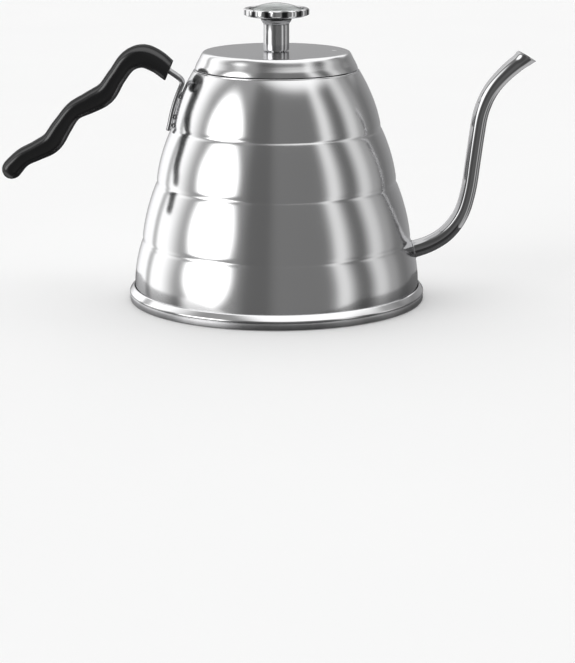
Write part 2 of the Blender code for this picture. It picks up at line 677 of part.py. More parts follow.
def make_probe(steel, brass, lid, pointer_axis, pointer_mat):
    top = STEM_TOP_Z + GAP + 0.75 + 0.35
    z0 = PROBE_TIP_Z + 2.2
    flange = 3.6
    tube = [(PROBE_BORE, top + 0.5), (flange, top + 0.5), (flange, top), (PROBE_RADIUS, top),
            (PROBE_RADIUS, z0), (PROBE_BORE, z0)]
    add_object("probe_tube", turned(tube, 16), steel, parent=lid)
    r = PROBE_RADIUS
    tip = [(0.0, z0 + 1.5), (PROBE_BORE - GAP, z0 + 1.5), (PROBE_BORE - GAP, z0 - GAP),
           (r, z0 - GAP), (r, PROBE_TIP_Z + 1.0), (r - 0.35, PROBE_TIP_Z + 0.3), (r - 1.1, PROBE_TIP_Z),
           (0.0, PROBE_TIP_Z)]
    add_object("probe_tip", turned(tip, 16), steel, parent=lid)
    # flat strip wound into a helix: its lower end is held at the tip, and its
    # upper end turns the spindle as the strip warms
    steps = COIL_TURNS * 10
    rings = []
    half_h, half_w = 0.42, 0.13
    for i in range(steps + 1):
        a = TAU * i / 10.0
        zc = COIL_BOTTOM_Z + (COIL_TOP_Z - COIL_BOTTOM_Z) * i / steps
        out = Vector((math.cos(a), math.sin(a), 0.0))
        c = out * COIL_RADIUS + Vector((0.0, 0.0, zc))
        up = Vector((0.0, 0.0, 1.0))
        rings.append([c + out * half_w + up * half_h, c - out * half_w + up * half_h,
                      c - out * half_w - up * half_h, c + out * half_w - up * half_h])
    bm, _ = loft(rings)
    add_object("bimetal_coil", bm, brass, parent=lid)
    bush = [(SPINDLE_RADIUS + 0.3, 134.5), (PROBE_BORE - 0.3, 134.5), (PROBE_BORE - 0.3, 131.5),
            (SPINDLE_RADIUS + 0.3, 131.5)]
    add_object("spindle_bush", turned(bush, 16), brass, parent=lid)
    # spindle and pointer
    hub_low, hub_top = HUB_LOW_Z, HUB_LOW_Z + 0.85
    spindle = [(0.0, hub_low + 0.35), (SPINDLE_RADIUS, hub_low + 0.35), (SPINDLE_RADIUS, COIL_TOP_Z + 0.9),
               (0.0, COIL_TOP_Z + 0.9)]
    add_object("pointer_spindle", turned(spindle, 12), steel, parent=pointer_axis)
    bore = SPINDLE_RADIUS + 0.3
    hub = [(0.0, hub_top), (1.5, hub_top), (1.8, hub_top - 0.2), (1.8, hub_low), (0.0, hub_low)]
    bm = turned(hub, 16)
    pointer = add_object("dial_pointer", bm, pointer_mat, parent=pointer_axis)
    # blade: a slim tapered strip with a short tail, joined to the hub
    blade = bmesh.new()
    outline = ((-4.6, -0.75), (-1.2, -0.6), (6.5, -0.55), (11.6, -0.12), (11.6, 0.12), (6.5, 0.55),
               (-1.2, 0.6), (-4.6, 0.75))
    low = [blade.verts.new((x, y, hub_low + 0.1)) for x, y in outline]
    blade.faces.new(low)
    ext = bmesh.ops.extrude_face_region(blade, geom=blade.faces[:])
    bmesh.ops.translate(blade, verts=[v for v in ext["geom"] if isinstance(v, bmesh.types.BMVert)],
                        vec=(0.0, 0.0, 0.35))
    # keep the spindle's bore open through the blade
    strip = add_object("blade_solid", blade, pointer_mat, parent=pointer_axis)
    strip.hide_render = True
    strip.display_type = 'WIRE'
    bm = bmesh.new()
    bmesh.ops.create_cone(bm, cap_ends=True, segments=16, radius1=bore, radius2=bore, depth=1.3,
                          matrix=Matrix.Translation((0.0, 0.0, hub_top - 0.2 - 0.65)))
    drill = add_object("pointer_drill", bm, pointer_mat, parent=pointer_axis)
    drill.hide_render = True
    drill.display_type = 'WIRE'
    for name, op, ob in (("blade", 'UNION', strip), ("drill", 'DIFFERENCE', drill)):
        mod = pointer.modifiers.new(name, 'BOOLEAN')
        mod.operation = op
        mod.solver = 'EXACT'
        mod.object = ob
    rest = DIAL_ZERO - DIAL_SWEEP * REST_C / DIAL_SPAN_C
    pointer_axis.rotation_euler = (0.0, 0.0, rest)


def main():
    clear_scene()
    steel = material("polished_stainless", (0.78, 0.78, 0.79), 0.12, 1.0)
    satin = material("satin_stainless", (0.66, 0.66, 0.67), 0.32, 1.0)
    aluminium = material("aluminium", (0.80, 0.81, 0.82), 0.40, 1.0)
    black = material("black_grip", (0.018, 0.018, 0.020), 0.38, 0.0)
    rubber = material("silicone", (0.55, 0.55, 0.53), 0.60, 0.0)
    white = material("dial_white", (0.86, 0.86, 0.84), 0.45, 0.0)
    red = material("pointer_red", (0.62, 0.05, 0.04), 0.40, 0.0)
    glass = material("clear_glass", (0.95, 0.97, 0.97), 0.05, 0.0, 0.9)
    brass = material("bimetal", (0.66, 0.50, 0.28), 0.35, 1.0)

    lid = bpy.data.objects.new("lid_axis", None)
    bpy.context.scene.collection.objects.link(lid)
    pointer_axis = bpy.data.objects.new("pointer_axis", None)
    bpy.context.scene.collection.objects.link(pointer_axis)
    pointer_axis.parent = lid

    make_body(steel)
    make_base(steel, aluminium)
    make_spout(steel)
    make_handle(satin, black)
    make_lid(steel, satin, lid)
    make_stem(steel, rubber, lid)
    make_head(steel, white, glass, rubber, lid)
    make_probe(satin, brass, lid, pointer_axis, red)


main()
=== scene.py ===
import math

import bmesh
import bpy
from mathutils import Matrix, Vector


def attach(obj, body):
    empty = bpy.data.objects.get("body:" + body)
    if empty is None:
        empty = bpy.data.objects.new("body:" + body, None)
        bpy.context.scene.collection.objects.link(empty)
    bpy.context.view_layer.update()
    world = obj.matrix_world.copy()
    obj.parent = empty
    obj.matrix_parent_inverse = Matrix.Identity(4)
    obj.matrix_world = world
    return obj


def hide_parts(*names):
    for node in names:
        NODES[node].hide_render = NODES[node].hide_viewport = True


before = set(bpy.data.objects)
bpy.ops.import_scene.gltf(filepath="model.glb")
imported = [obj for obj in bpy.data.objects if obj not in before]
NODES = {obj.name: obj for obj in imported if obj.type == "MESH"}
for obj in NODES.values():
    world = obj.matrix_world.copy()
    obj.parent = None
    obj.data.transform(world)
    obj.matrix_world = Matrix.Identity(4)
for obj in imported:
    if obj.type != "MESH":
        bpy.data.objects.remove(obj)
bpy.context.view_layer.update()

MM = 0.001
TAU = 2.0 * math.pi

# ---------------------------------------------------------------- sizes, in mm, as in the CAD
GAP = 0.35
SHEET = 0.6
TIERS = (
    (40.1, 113.6, 51.3, 85.2, 0.62),
    (51.3, 85.2, 59.1, 58.2, 0.48),
    (59.1, 58.2, 66.4, 29.7, 0.42),
    (66.4, 29.7, 70.3, 8.0, 0.36),
)
BODY_BOTTOM_Z = 2.3
LEDGE_Z = 113.6
MOUTH_RADIUS = 35.0
NECK_DEPTH = 4.6
BAND_RADIUS = 72.9
BAND_TOP_Z = 2.9
BEAD_RADIUS = 73.0
BEAD_Z = 4.2
CAP_TOP_Z = 7.2
CAP_FLOOR = 0.7
PAN_TOP_Z = 5.8
SPOUT_WALL = 0.55
SPOUT_PATH = ((67.3, 23.7), (75.9, 26.6), (84.6, 32.3), (91.4, 42.0), (94.8, 54.0),
              (96.6, 67.5), (98.3, 81.0), (100.2, 92.5), (104.6, 102.9), (112.2, 111.9),
              (122.0, 119.9))
SPOUT_RADII = ((0.0, 4.30), (0.12, 4.15), (0.35, 3.82), (0.85, 3.85), (0.95, 4.05), (1.0, 4.65))
TIP_NORMAL = (0.50, 0.866)
GRIP_PATH = ((-52.2, 112.7), (-58.4, 117.4), (-65.0, 119.9), (-71.7, 117.6), (-77.9, 109.8),
             (-83.5, 101.7), (-91.2, 97.2), (-99.1, 93.0), (-105.2, 85.1), (-110.4, 77.6),
             (-117.4, 73.6), (-124.6, 70.0), (-129.5, 65.2), (-133.1, 60.9))
GRIP_FACE = (0.92, 0.0, -0.39)
GRIP_END = 5.6
GRIP_THICKNESS = 10.5
GRIP_TAPER = 0.8
GRIP_SWELL = 0.75
GRIP_WAVE = 31.5
GRIP_CREST = 14.0
GRIP_WIDTH = 17.0
WIRE_DIAMETER = 2.4
WIRE_NECK_HALF = 2.3
WIRE_FOOT_HALF = 8.9
WIRE_FOOT_Z = 84.6
WIRE_DEPTH = 26.0
LID_TOP_Z = 122.4
LID_EDGE = ((33.3, 122.4), (34.9, 122.28), (35.7, 122.0))
LID_SKIRT = ((36.1, 121.55), (36.65, 120.6), (37.35, 119.2), (38.15, 117.7), (39.0, 116.1),
             (39.55, 114.7))
LID_SKIRT_Z = 114.0
LID_SHEET = 0.6
RING_RADIUS = 34.6
RING_BOTTOM_Z = 106.0
VENT_X = 28.0
VENT_DIAMETER = 2.0
STEM_HOLE = 4.35
STEM_RADIUS = 6.3
STEM_TOP_Z = 137.9
SPIGOT_RADIUS = 4.0
HEAD_RADIUS = 16.0
HEAD_LOBES = 12
BEZEL_BOTTOM_Z = 139.8
BEZEL_TOP_Z = 143.05
LENS_EDGE_Z = 142.4
LENS_APEX_Z = 145.7
CASE_TOP_Z = 140.6
DIAL_Z = 139.85
HUB_LOW_Z = 141.0
PROBE_RADIUS = 2.25
PROBE_BORE = 1.85
PROBE_TIP_Z = 38.0
SPINDLE_RADIUS = 0.5
DIAL_SWEEP = math.radians(270.0)
DIAL_ZERO = math.radians(-135.0)
DIAL_SPAN_C = 100.0
REST_C = 20.0
AROUND = 256                    # segments of the large turned pieces


# ================================================================ mesh helpers
def to_object(name, bm, mat, body, nodes=(), angle=38.0, crease=True):
    """A bmesh in millimetres becomes a piece that rides on a body."""
    bmesh.ops.remove_doubles(bm, verts=bm.verts, dist=0.0004)
    bmesh.ops.recalc_face_normals(bm, faces=bm.faces)
    if bm.calc_volume(signed=True) < 0.0:
        bmesh.ops.reverse_faces(bm, faces=bm.faces)
    bmesh.ops.transform(bm, matrix=Matrix.Scale(MM, 4), verts=bm.verts)
    mesh = bpy.data.meshes.new(name)
    bm.to_mesh(mesh)
    bm.free()
    mesh.shade_smooth()
    if crease:
        mesh.set_sharp_from_angle(angle=math.radians(angle))
    if mat is not None:
        mesh.materials.append(mat)
    ob = bpy.data.objects.new(name, mesh)
    bpy.context.scene.collection.objects.link(ob)
    if body:
        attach(ob, body)
        if nodes:
            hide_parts(*nodes)
    return ob


def turned(profile, segments, lobes=None, closed=True):
    """A closed (r, z) outline swept round the Z axis; r = 0 makes a pole."""
    bm = bmesh.new()
    rings = []
    for r, z in profile:
        if r < 1e-6:
            rings.append([bm.verts.new((0.0, 0.0, z))])
            continue
        ring = []
        for k in range(segments):
            a = TAU * k / segments
            rr = r + (lobes(r, z, a) if lobes else 0.0)
            ring.append(bm.verts.new((rr * math.cos(a), rr * math.sin(a), z)))
        rings.append(ring)
    pairs = len(rings) if closed else len(rings) - 1
    for i in range(pairs):
        one, two = rings[i], rings[(i + 1) % len(rings)]
        if len(one) == 1 and len(two) == 1:
            continue
        for k in range(segments):
            n = (k + 1) % segments
            if len(one) == 1:
                bm.faces.new((one[0], two[k], two[n]))
            elif len(two) == 1:
                bm.faces.new((one[k], one[n], two[0]))
            else:
                bm.faces.new((one[k], one[n], two[n], two[k]))
    return bm


def arc(cx, cz, radius, start, end, steps):
    return [(cx + radius * math.cos(math.radians(start + (end - start) * i / steps)),
             cz + radius * math.sin(math.radians(start + (end - start) * i / steps)))
            for i in range(steps + 1)]


def rounded(points, radii, steps=5):
    """A closed (r, z) polygon with its corners rounded off; radius 0 keeps a corner."""
    out = []
    n = len(points)
    for i, (p, rad) in enumerate(zip(points, radii)):
        p = Vector(p)
        a, b = Vector(points[i - 1]), Vector(points[(i + 1) % n])
        if rad <= 0.0:
            out.append(tuple(p))
            continue
        da, db = (a - p), (b - p)
        la, lb = da.length, db.length
        da.normalize()
        db.normalize()
        half = math.acos(max(-1.0, min(1.0, da.dot(db)))) / 2.0
        if half > math.radians(88.0):
            out.append(tuple(p))
            continue
        cut = min(rad / math.tan(half), la * 0.48, lb * 0.48)
        p0, p1 = p + da * cut, p + db * cut
        for j in range(steps + 1):
            t = j / steps
            q = p0 * (1 - t) ** 2 + p * (2 * t * (1 - t)) + p1 * t * t
            out.append(tuple(q))
    return out


def spline(points, count):
    """Evenly spaced points on a centripetal Catmull-Rom curve."""
    pts = [Vector(p) for p in points]
    pts = [pts[0] * 2 - pts[1]] + pts + [pts[-1] * 2 - pts[-2]]
    dense = []
    for i in range(1, len(pts) - 2):
        p0, p1, p2, p3 = pts[i - 1:i + 3]
        t0 = 0.0
        t1 = t0 + (p1 - p0).length ** 0.5
        t2 = t1 + (p2 - p1).length ** 0.5
        t3 = t2 + (p3 - p2).length ** 0.5
        for j in range(24):
            t = t1 + (t2 - t1) * j / 24.0
            a1 = p0 * ((t1 - t) / (t1 - t0)) + p1 * ((t - t0) / (t1 - t0))
            a2 = p1 * ((t2 - t) / (t2 - t1)) + p2 * ((t - t1) / (t2 - t1))
            a3 = p2 * ((t3 - t) / (t3 - t2)) + p3 * ((t - t2) / (t3 - t2))
            b1 = a1 * ((t2 - t) / (t2 - t0)) + a2 * ((t - t0) / (t2 - t0))
            b2 = a2 * ((t3 - t) / (t3 - t1)) + a3 * ((t - t1) / (t3 - t1))
            dense.append(b1 * ((t2 - t) / (t2 - t1)) + b2 * ((t - t1) / (t2 - t1)))
    dense.append(pts[-2])
    lengths = [0.0]
    for a, b in zip(dense, dense[1:]):
        lengths.append(lengths[-1] + (b - a).length)
    total = lengths[-1]
    out, j = [], 0
    for i in range(count):
        s = total * i / (count - 1)
        while j < len(lengths) - 2 and lengths[j + 1] < s:
            j += 1
        f = (s - lengths[j]) / max(lengths[j + 1] - lengths[j], 1e-9)
        out.append(dense[j].lerp(dense[j + 1], min(max(f, 0.0), 1.0)))
    return out, total


def smoothed(points, rounds):
    """The same points with small bends evened out; the ends stay."""
    pts = [p.copy() for p in points]
    for _ in range(rounds):
        pts = [pts[0]] + [pts[i - 1] * 0.25 + pts[i] * 0.5 + pts[i + 1] * 0.25
                          for i in range(1, len(pts) - 1)] + [pts[-1]]
    return pts


def tangents(points):
    out = []
    for i in range(len(points)):
        a = points[max(i - 1, 0)]
        b = points[min(i + 1, len(points) - 1)]
        out.append((b - a).normalized())
    return out


def table(pairs, s):
    for (s0, v0), (s1, v1) in zip(pairs, pairs[1:]):
        if s <= s1:
            f = (s - s0) / (s1 - s0)
            f = f * f * (3.0 - 2.0 * f)
            return v0 + (v1 - v0) * f
    return pairs[-1][1]


def skin(bm, rows, flip=False, wrap=True):
    """Quads between rows of vertices that go round."""
    for one, two in zip(rows, rows[1:]):
        n = len(one)
        for k in range(n if wrap else n - 1):
            m = (k + 1) % n
            f = (one[k], one[m], two[m], two[k])
            bm.faces.new(tuple(reversed(f)) if flip else f)


def loft(rings, caps=True):
    bm = bmesh.new()
    vs = [[bm.verts.new(p) for p in ring] for ring in rings]
    skin(bm, vs)
    if caps:
        bm.faces.new(list(reversed(vs[0])))
        bm.faces.new(vs[-1])
    return bm


def cut(ob, cutter_bm):
    """Takes a closed mesh, in millimetres, away from a piece, and applies it."""
    cutter = to_object("cutter_tmp", cutter_bm, None, None)
    mod = ob.modifiers.new("cut", 'BOOLEAN')
    mod.operation = 'DIFFERENCE'
    mod.solver = 'EXACT'
    mod.object = cutter
    bpy.context.view_layer.update()
    dg = bpy.context.evaluated_depsgraph_get()
    mesh = bpy.data.meshes.new_from_object(ob.evaluated_get(dg), depsgraph=dg)
    ob.modifiers.remove(mod)
    old = ob.data
    ob.data = mesh
    mesh.name = ob.name
    bpy.data.meshes.remove(old)
    old = cutter.data
    bpy.data.objects.remove(cutter, do_unlink=True)
    bpy.data.meshes.remove(old)
    mesh.shade_smooth()
    mesh.set_sharp_from_angle(angle=math.radians(38.0))
    return ob


# ================================================================ shader helpers
class Graph:
    """Short names for the shader nodes that the materials below are made of."""

    def __init__(self, tree):
        self.t = tree
        self.n = tree.nodes
        self.l = tree.links

    def put(self, socket, value):
        if hasattr(value, "is_output"):
            self.l.new(value, socket)
        elif isinstance(value, (tuple, list)) and socket.type == 'RGBA' and len(value) == 3:
            socket.default_value = (*value, 1.0)
        else:
            socket.default_value = value

    def math(self, op, a, b=0.0, c=0.0, clamp=False):
        n = self.n.new("ShaderNodeMath")
        n.operation = op
        n.use_clamp = clamp
        for s, v in zip(n.inputs, (a, b, c)):
            self.put(s, v)
        return n.outputs[0]

    def step(self, value, low, high):
        """0 below low, 1 above high, smooth between them."""
        n = self.n.new("ShaderNodeMapRange")
        n.interpolation_type = 'SMOOTHSTEP'
        self.put(n.inputs["Value"], value)
        n.inputs["From Min"].default_value = low
        n.inputs["From Max"].default_value = high
        return n.outputs["Result"]

    def span(self, value, a0, a1, b0, b1):
        n = self.n.new("ShaderNodeMapRange")
        self.put(n.inputs["Value"], value)
        for k, v in (("From Min", a0), ("From Max", a1), ("To Min", b0), ("To Max", b1)):
            n.inputs[k].default_value = v
        return n.outputs["Result"]

    def mix(self, f, a, b):
        n = self.n.new("ShaderNodeMix")
        n.data_type = 'RGBA'
        self.put(n.inputs[0], f)
        self.put(n.inputs[6], a)
        self.put(n.inputs[7], b)
        return n.outputs[2]

    def ramp(self, value, stops):
        n = self.n.new("ShaderNodeValToRGB")
        e = n.color_ramp.elements
        while len(e) > 1:
            e.remove(e[-1])
        for i, (p, v) in enumerate(stops):
            el = e[0] if i == 0 else e.new(p)
            el.position = p
            el.color = (v, v, v, 1.0)
        self.put(n.inputs[0], value)
        return n.outputs[0]

    def coords(self):
        return self.n.new("ShaderNodeTexCoord").outputs["Object"]

    def split(self, vec):
        n = self.n.new("ShaderNodeSeparateXYZ")
        self.l.new(vec, n.inputs[0])
        return n.outputs

    def join(self, x, y, z):
        n = self.n.new("ShaderNodeCombineXYZ")
        for s, v in zip(n.inputs, (x, y, z)):
            self.put(s, v)
        return n.outputs[0]

    def noise(self, vec, scale, detail=3.0, rough=0.55, distortion=0.0):
        n = self.n.new("ShaderNodeTexNoise")
        self.l.new(vec, n.inputs["Vector"])
        n.inputs["Scale"].default_value = scale
        n.inputs["Detail"].default_value = detail
        n.inputs["Roughness"].default_value = rough
        n.inputs["Distortion"].default_value = distortion
        return n.outputs["Fac"]

    def bump(self, height, strength, distance, normal=None):
        n = self.n.new("ShaderNodeBump")
        n.inputs["Strength"].default_value = strength
        n.inputs["Distance"].default_value = distance
        self.l.new(height, n.inputs["Height"])
        if normal is not None:
            self.l.new(normal, n.inputs["Normal"])
        return n.outputs[0]


def new_material(name):
    mat = bpy.data.materials.new(name)
    mat.use_nodes = True
    g = Graph(mat.node_tree)
    return mat, g, mat.node_tree.nodes["Principled BSDF"]


def spun_coords(g, around, along):
    """Coordinates that follow the lines a lathe or a polishing wheel leaves: long round Z."""
    x, y, z = g.split(g.coords())
    angle = g.math('ARCTAN2', y, x)
    radius = g.math('SQRT', g.math('ADD', g.math('MULTIPLY', x, x), g.math('MULTIPLY', y, y)))
    # cos and sin of the angle keep the pattern whole across the seam at 180 degrees
    c = g.math('MULTIPLY', g.math('COSINE', angle), around)
    s = g.math('MULTIPLY', g.math('SINE', angle), around)
    v = g.math('MULTIPLY', g.math('ADD', z, g.math('MULTIPLY', radius, 0.9)), along)
    return g.join(c, s, v)


def steel(name, colour, rough, spread, line, wave, tint=(0.86, 0.86, 0.87), wear=0.05):
    """Stainless steel turned or polished round Z: fine lines, soft waviness, faint wipe marks."""
    mat, g, b = new_material(name)
    p = g.coords()
    lines = g.noise(spun_coords(g, 1.2, 2600.0), 1.0, 4.0, 0.62)
    cloud = g.noise(p, 38.0, 3.0, 0.5)
    wipe = g.noise(p, 260.0, 4.0, 0.6, 1.2)
    marks = g.step(wipe, 0.60, 0.74)
    tone = g.math('ADD', g.math('MULTIPLY', g.math('SUBTRACT', cloud, 0.5), 0.05),
                  g.math('MULTIPLY', g.math('SUBTRACT', lines, 0.5), wear))
    base = g.mix(g.math('ADD', 0.5, tone, clamp=True), tuple(c * 0.90 for c in colour),
                 tuple(min(1.0, c * 1.10) for c in colour))
    g.put(b.inputs["Base Color"], base)
    r = g.math('ADD', rough, g.math('MULTIPLY', g.math('SUBTRACT', cloud, 0.5), spread))
    r = g.math('ADD', r, g.math('MULTIPLY', marks, spread * 0.35))
    r = g.math('ADD', r, g.math('MULTIPLY', g.math('SUBTRACT', lines, 0.5), spread * 0.5))
    g.put(b.inputs["Roughness"], g.math('MAXIMUM', r, 0.02))
    b.inputs["Metallic"].default_value = 1.0
    b.inputs["Specular Tint"].default_value = (*tint, 1.0)
    n1 = g.bump(lines, 1.0, line)
    n2 = g.bump(g.noise(p, 17.0, 1.5, 0.4), 1.0, wave, n1)
    g.put(b.inputs["Normal"], n2)
    return mat


def base_steel(name):
    """Polished bead and shoulder, with a rougher band under them that is painted darker as shade under the bead."""
    mat = steel(name, (0.80, 0.80, 0.805), 0.10, 0.05, 0.0000015, 0.00002)
    g = Graph(mat.node_tree)
    b = mat.node_tree.nodes["Principled BSDF"]
    x, y, z = g.split(g.coords())
    rough_painted_shade = g.math('SUBTRACT', 1.0, g.step(z, (BAND_TOP_Z + 0.1) * MM, (BAND_TOP_Z + 0.9) * MM))
    mottle = g.noise(g.coords(), 210.0, 4.0, 0.6)
    base = b.inputs["Base Color"].links[0].from_socket
    rough = b.inputs["Roughness"].links[0].from_socket
    # painted shade: the band under the bead gets a darker, mottled colour
    band = g.mix(mottle, (0.40, 0.40, 0.405), (0.58, 0.58, 0.585))
    g.put(b.inputs["Base Color"], g.mix(rough_painted_shade, base, band))
    g.put(b.inputs["Roughness"], g.math('ADD', rough, g.math('MULTIPLY', rough_painted_shade, 0.24)))
    return mat


def fluted_steel(name):
    """Polished rim of the thermometer, with painted shade darkening its flutes below the top edge."""
    mat = steel(name, (0.80, 0.80, 0.805), 0.06, 0.04, 0.0000008, 0.000005)
    g = Graph(mat.node_tree)
    b = mat.node_tree.nodes["Principled BSDF"]
    x, y, z = g.split(g.coords())
    radius = g.math('SQRT', g.math('ADD', g.math('MULTIPLY', x, x), g.math('MULTIPLY', y, y)))
    low = g.math('SUBTRACT', 1.0, g.step(radius, 0.01542, 0.01578))
    side = g.math('SUBTRACT', 1.0, g.step(z, (BEZEL_TOP_Z - 0.9) * MM, (BEZEL_TOP_Z - 0.15) * MM))
    # painted shade: the flutes, below the top edge, go near black
    flute_painted_shade = g.math('MULTIPLY', low, side)
    base = b.inputs["Base Color"].links[0].from_socket
    g.put(b.inputs["Base Color"], g.mix(flute_painted_shade, base, (0.05, 0.05, 0.052)))
    return mat


def stem_steel(name):
    """Column of the knob: its flare and the bowl above it are rougher, and painted darker as shade under the dial
    head.
    """
    mat = steel(name, (0.60, 0.60, 0.605), 0.10, 0.05, 0.0000008, 0.000006)
    g = Graph(mat.node_tree)
    b = mat.node_tree.nodes["Principled BSDF"]
    x, y, z = g.split(g.coords())
    rough_painted_shade = g.step(z, (STEM_TOP_Z - 3.2) * MM, (STEM_TOP_Z - 1.8) * MM)
    base = b.inputs["Base Color"].links[0].from_socket
    rough = b.inputs["Roughness"].links[0].from_socket
    # painted shade under the dial head: the flare and the bowl go darker
    g.put(b.inputs["Base Color"], g.mix(rough_painted_shade, base, (0.27, 0.27, 0.275)))
    g.put(b.inputs["Roughness"], g.math('ADD', rough, g.math('MULTIPLY', rough_painted_shade, 0.08)))
    return mat


def black_moulding(name):
    """Black moulded handle plastic: fine spark-eroded grain, faint parting line, rubbed places."""
    mat, g, b = new_material(name)
    p = g.coords()
    grain = g.noise(p, 2300.0, 2.0, 0.5)
    cloud = g.noise(p, 55.0, 3.0, 0.55)
    x, y, z = g.split(p)
    seam = g.math('SUBTRACT', 1.0, g.step(g.math('ABSOLUTE', y), 0.00005, 0.00032))
    rub = g.step(g.noise(p, 120.0, 5.0, 0.65, 0.8), 0.52, 0.72)
    base = g.mix(g.math('MULTIPLY', rub, 0.5), (0.0060, 0.0060, 0.0066), (0.012, 0.012, 0.0126))
    g.put(b.inputs["Base Color"], base)
    r = g.math('ADD', 0.20, g.math('MULTIPLY', g.math('SUBTRACT', cloud, 0.5), 0.12))
    r = g.math('SUBTRACT', r, g.math('MULTIPLY', rub, 0.05))
    g.put(b.inputs["Roughness"], r)
    # the fine grain swallows the reflection at a shallow angle
    weight = g.n.new("ShaderNodeLayerWeight")
    weight.inputs["Blend"].default_value = 0.5
    g.put(b.inputs["Specular IOR Level"],
          g.math('SUBTRACT', 0.80, g.math('MULTIPLY', 0.79, g.step(weight.outputs["Facing"], 0.26, 0.64))))
    n1 = g.bump(grain, 0.55, 0.00003)
    n2 = g.bump(seam, 0.6, 0.00006, n1)
    g.put(b.inputs["Normal"], n2)
    return mat


def silicone(name, colour):
    mat, g, b = new_material(name)
    p = g.coords()
    cloud = g.noise(p, 190.0, 4.0, 0.6)
    g.put(b.inputs["Base Color"], g.mix(cloud, tuple(c * 0.86 for c in colour), colour))
    g.put(b.inputs["Roughness"], g.math('ADD', 0.48, g.math('MULTIPLY', cloud, 0.2)))
    g.put(b.inputs["Normal"], g.bump(g.noise(p, 1500.0, 2.0), 0.4, 0.00003))
    b.inputs["Subsurface Weight"].default_value = 0.08
    b.inputs["Subsurface Radius"].default_value = (0.001, 0.0008, 0.0006)
    return mat


def enamel(name, colour, rough):
    mat, g, b = new_material(name)
    p = g.coords()
    cloud = g.noise(p, 320.0, 4.0, 0.6)
    g.put(b.inputs["Base Color"], g.mix(cloud, tuple(c * 0.93 for c in colour), colour))
    g.put(b.inputs["Roughness"], g.math('ADD', rough, g.math('MULTIPLY', cloud, 0.12)))
    g.put(b.inputs["Normal"], g.bump(g.noise(p, 2600.0, 2.0), 0.25, 0.00001))
    b.inputs["Coat Weight"].default_value = 0.15
    b.inputs["Coat Roughness"].default_value = 0.2
    return mat


def strip_metal(name):
    """The two-metal strip: brassy on its outside, steely on its inside, rolled along its length."""
    mat, g, b = new_material(name)
    p = g.coords()
    x, y, z = g.split(p)
    radius = g.math('SQRT', g.math('ADD', g.math('MULTIPLY', x, x), g.math('MULTIPLY', y, y)))
    side = g.step(radius, 0.00116, 0.00124)
    cloud = g.noise(p, 700.0, 3.0, 0.6)
    brass = g.mix(cloud, (0.60, 0.43, 0.20), (0.74, 0.56, 0.30))
    g.put(b.inputs["Base Color"], g.mix(side, (0.55, 0.55, 0.56), brass))
    g.put(b.inputs["Roughness"], g.math('ADD', 0.26, g.math('MULTIPLY', cloud, 0.16)))
    b.inputs["Metallic"].default_value = 1.0
    g.put(b.inputs["Normal"], g.bump(g.noise(spun_coords(g, 1.0, 9000.0), 1.0, 2.0), 0.4, 0.00001))
    return mat


def glass(name):
    """Clear moulded lens: sharp reflection by angle over what is seen through it."""
    mat = bpy.data.materials.new(name)
    mat.use_nodes = True
    g = Graph(mat.node_tree)
    g.n.remove(g.n["Principled BSDF"])
    out = [n for n in g.n if n.type == 'OUTPUT_MATERIAL'][0]
    p = g.coords()
    haze = g.noise(p, 420.0, 4.0, 0.6)
    clear = g.n.new("ShaderNodeBsdfTransparent")
    clear.inputs["Color"].default_value = (0.97, 0.985, 0.98, 1.0)
    shine = g.n.new("ShaderNodeBsdfGlossy")
    shine.inputs["Color"].default_value = (0.96, 0.97, 0.97, 1.0)
    g.put(shine.inputs["Roughness"], g.math('ADD', 0.03, g.math('MULTIPLY', haze, 0.05)))
    fres = g.n.new("ShaderNodeFresnel")
    # the inner faces of the thin lens reflect like the outer ones
    inside = g.n.new("ShaderNodeNewGeometry").outputs["Backfacing"]
    g.put(fres.inputs["IOR"], g.math('ADD', 1.49, g.math('MULTIPLY', inside, 1.0 / 1.49 - 1.49)))
    g.put(fres.inputs["Normal"], g.bump(haze, 0.15, 0.00004))
    mix = g.n.new("ShaderNodeMixShader")
    g.put(mix.inputs[0], fres.outputs[0])
    g.l.new(clear.outputs[0], mix.inputs[1])
    g.l.new(shine.outputs[0], mix.inputs[2])
    g.l.new(mix.outputs[0], out.inputs["Surface"])
    return mat


M = {
    "body": steel("kettle_polished_steel", (0.80, 0.80, 0.805), 0.15, 0.05, 0.0000012, 0.00003),
    "base": base_steel("base_polished_steel"),
    "lid": steel("lid_polished_steel", (0.80, 0.80, 0.805), 0.15, 0.06, 0.0000022, 0.000016),
    # the spout is the body's polished steel painted darker: painted shade
    "spout": steel("spout_steel_painted_shade", (0.44, 0.44, 0.445), 0.06, 0.04, 0.0000008, 0.000012),
    "stem": stem_steel("stem_polished_steel"),
    "rim": fluted_steel("rim_fluted_steel"),
    "satin": steel("satin_steel_finish", (0.64, 0.64, 0.65), 0.26, 0.10, 0.000003, 0.00001),
    "inside": steel("inner_steel", (0.68, 0.68, 0.685), 0.30, 0.12, 0.000003, 0.00002),
    # the wire is steel painted darker: painted shade
    "wire": steel("wire_steel_painted_shade", (0.36, 0.36, 0.365), 0.12, 0.08, 0.0000012, 0.000004),
    "weld": steel("weld_bead_steel", (0.42, 0.42, 0.425), 0.26, 0.16, 0.000004, 0.00003, wear=0.12),
    "alu": steel("aluminium_cast", (0.70, 0.71, 0.72), 0.42, 0.14, 0.000005, 0.00003),
    "grip": black_moulding("grip_black_moulding"),
    "rubber": silicone("silicone_translucent", (0.58, 0.58, 0.56)),
    "dial": enamel("dial_white_enamel", (0.88, 0.88, 0.86), 0.38),
    "ink": enamel("dial_black_ink", (0.02, 0.02, 0.022), 0.42),
    "needle": enamel("pointer_black_paint", (0.035, 0.035, 0.037), 0.34),
    "bimetal": strip_metal("bimetal_strip_metal"),
    "glass": glass("lens_clear"),
}


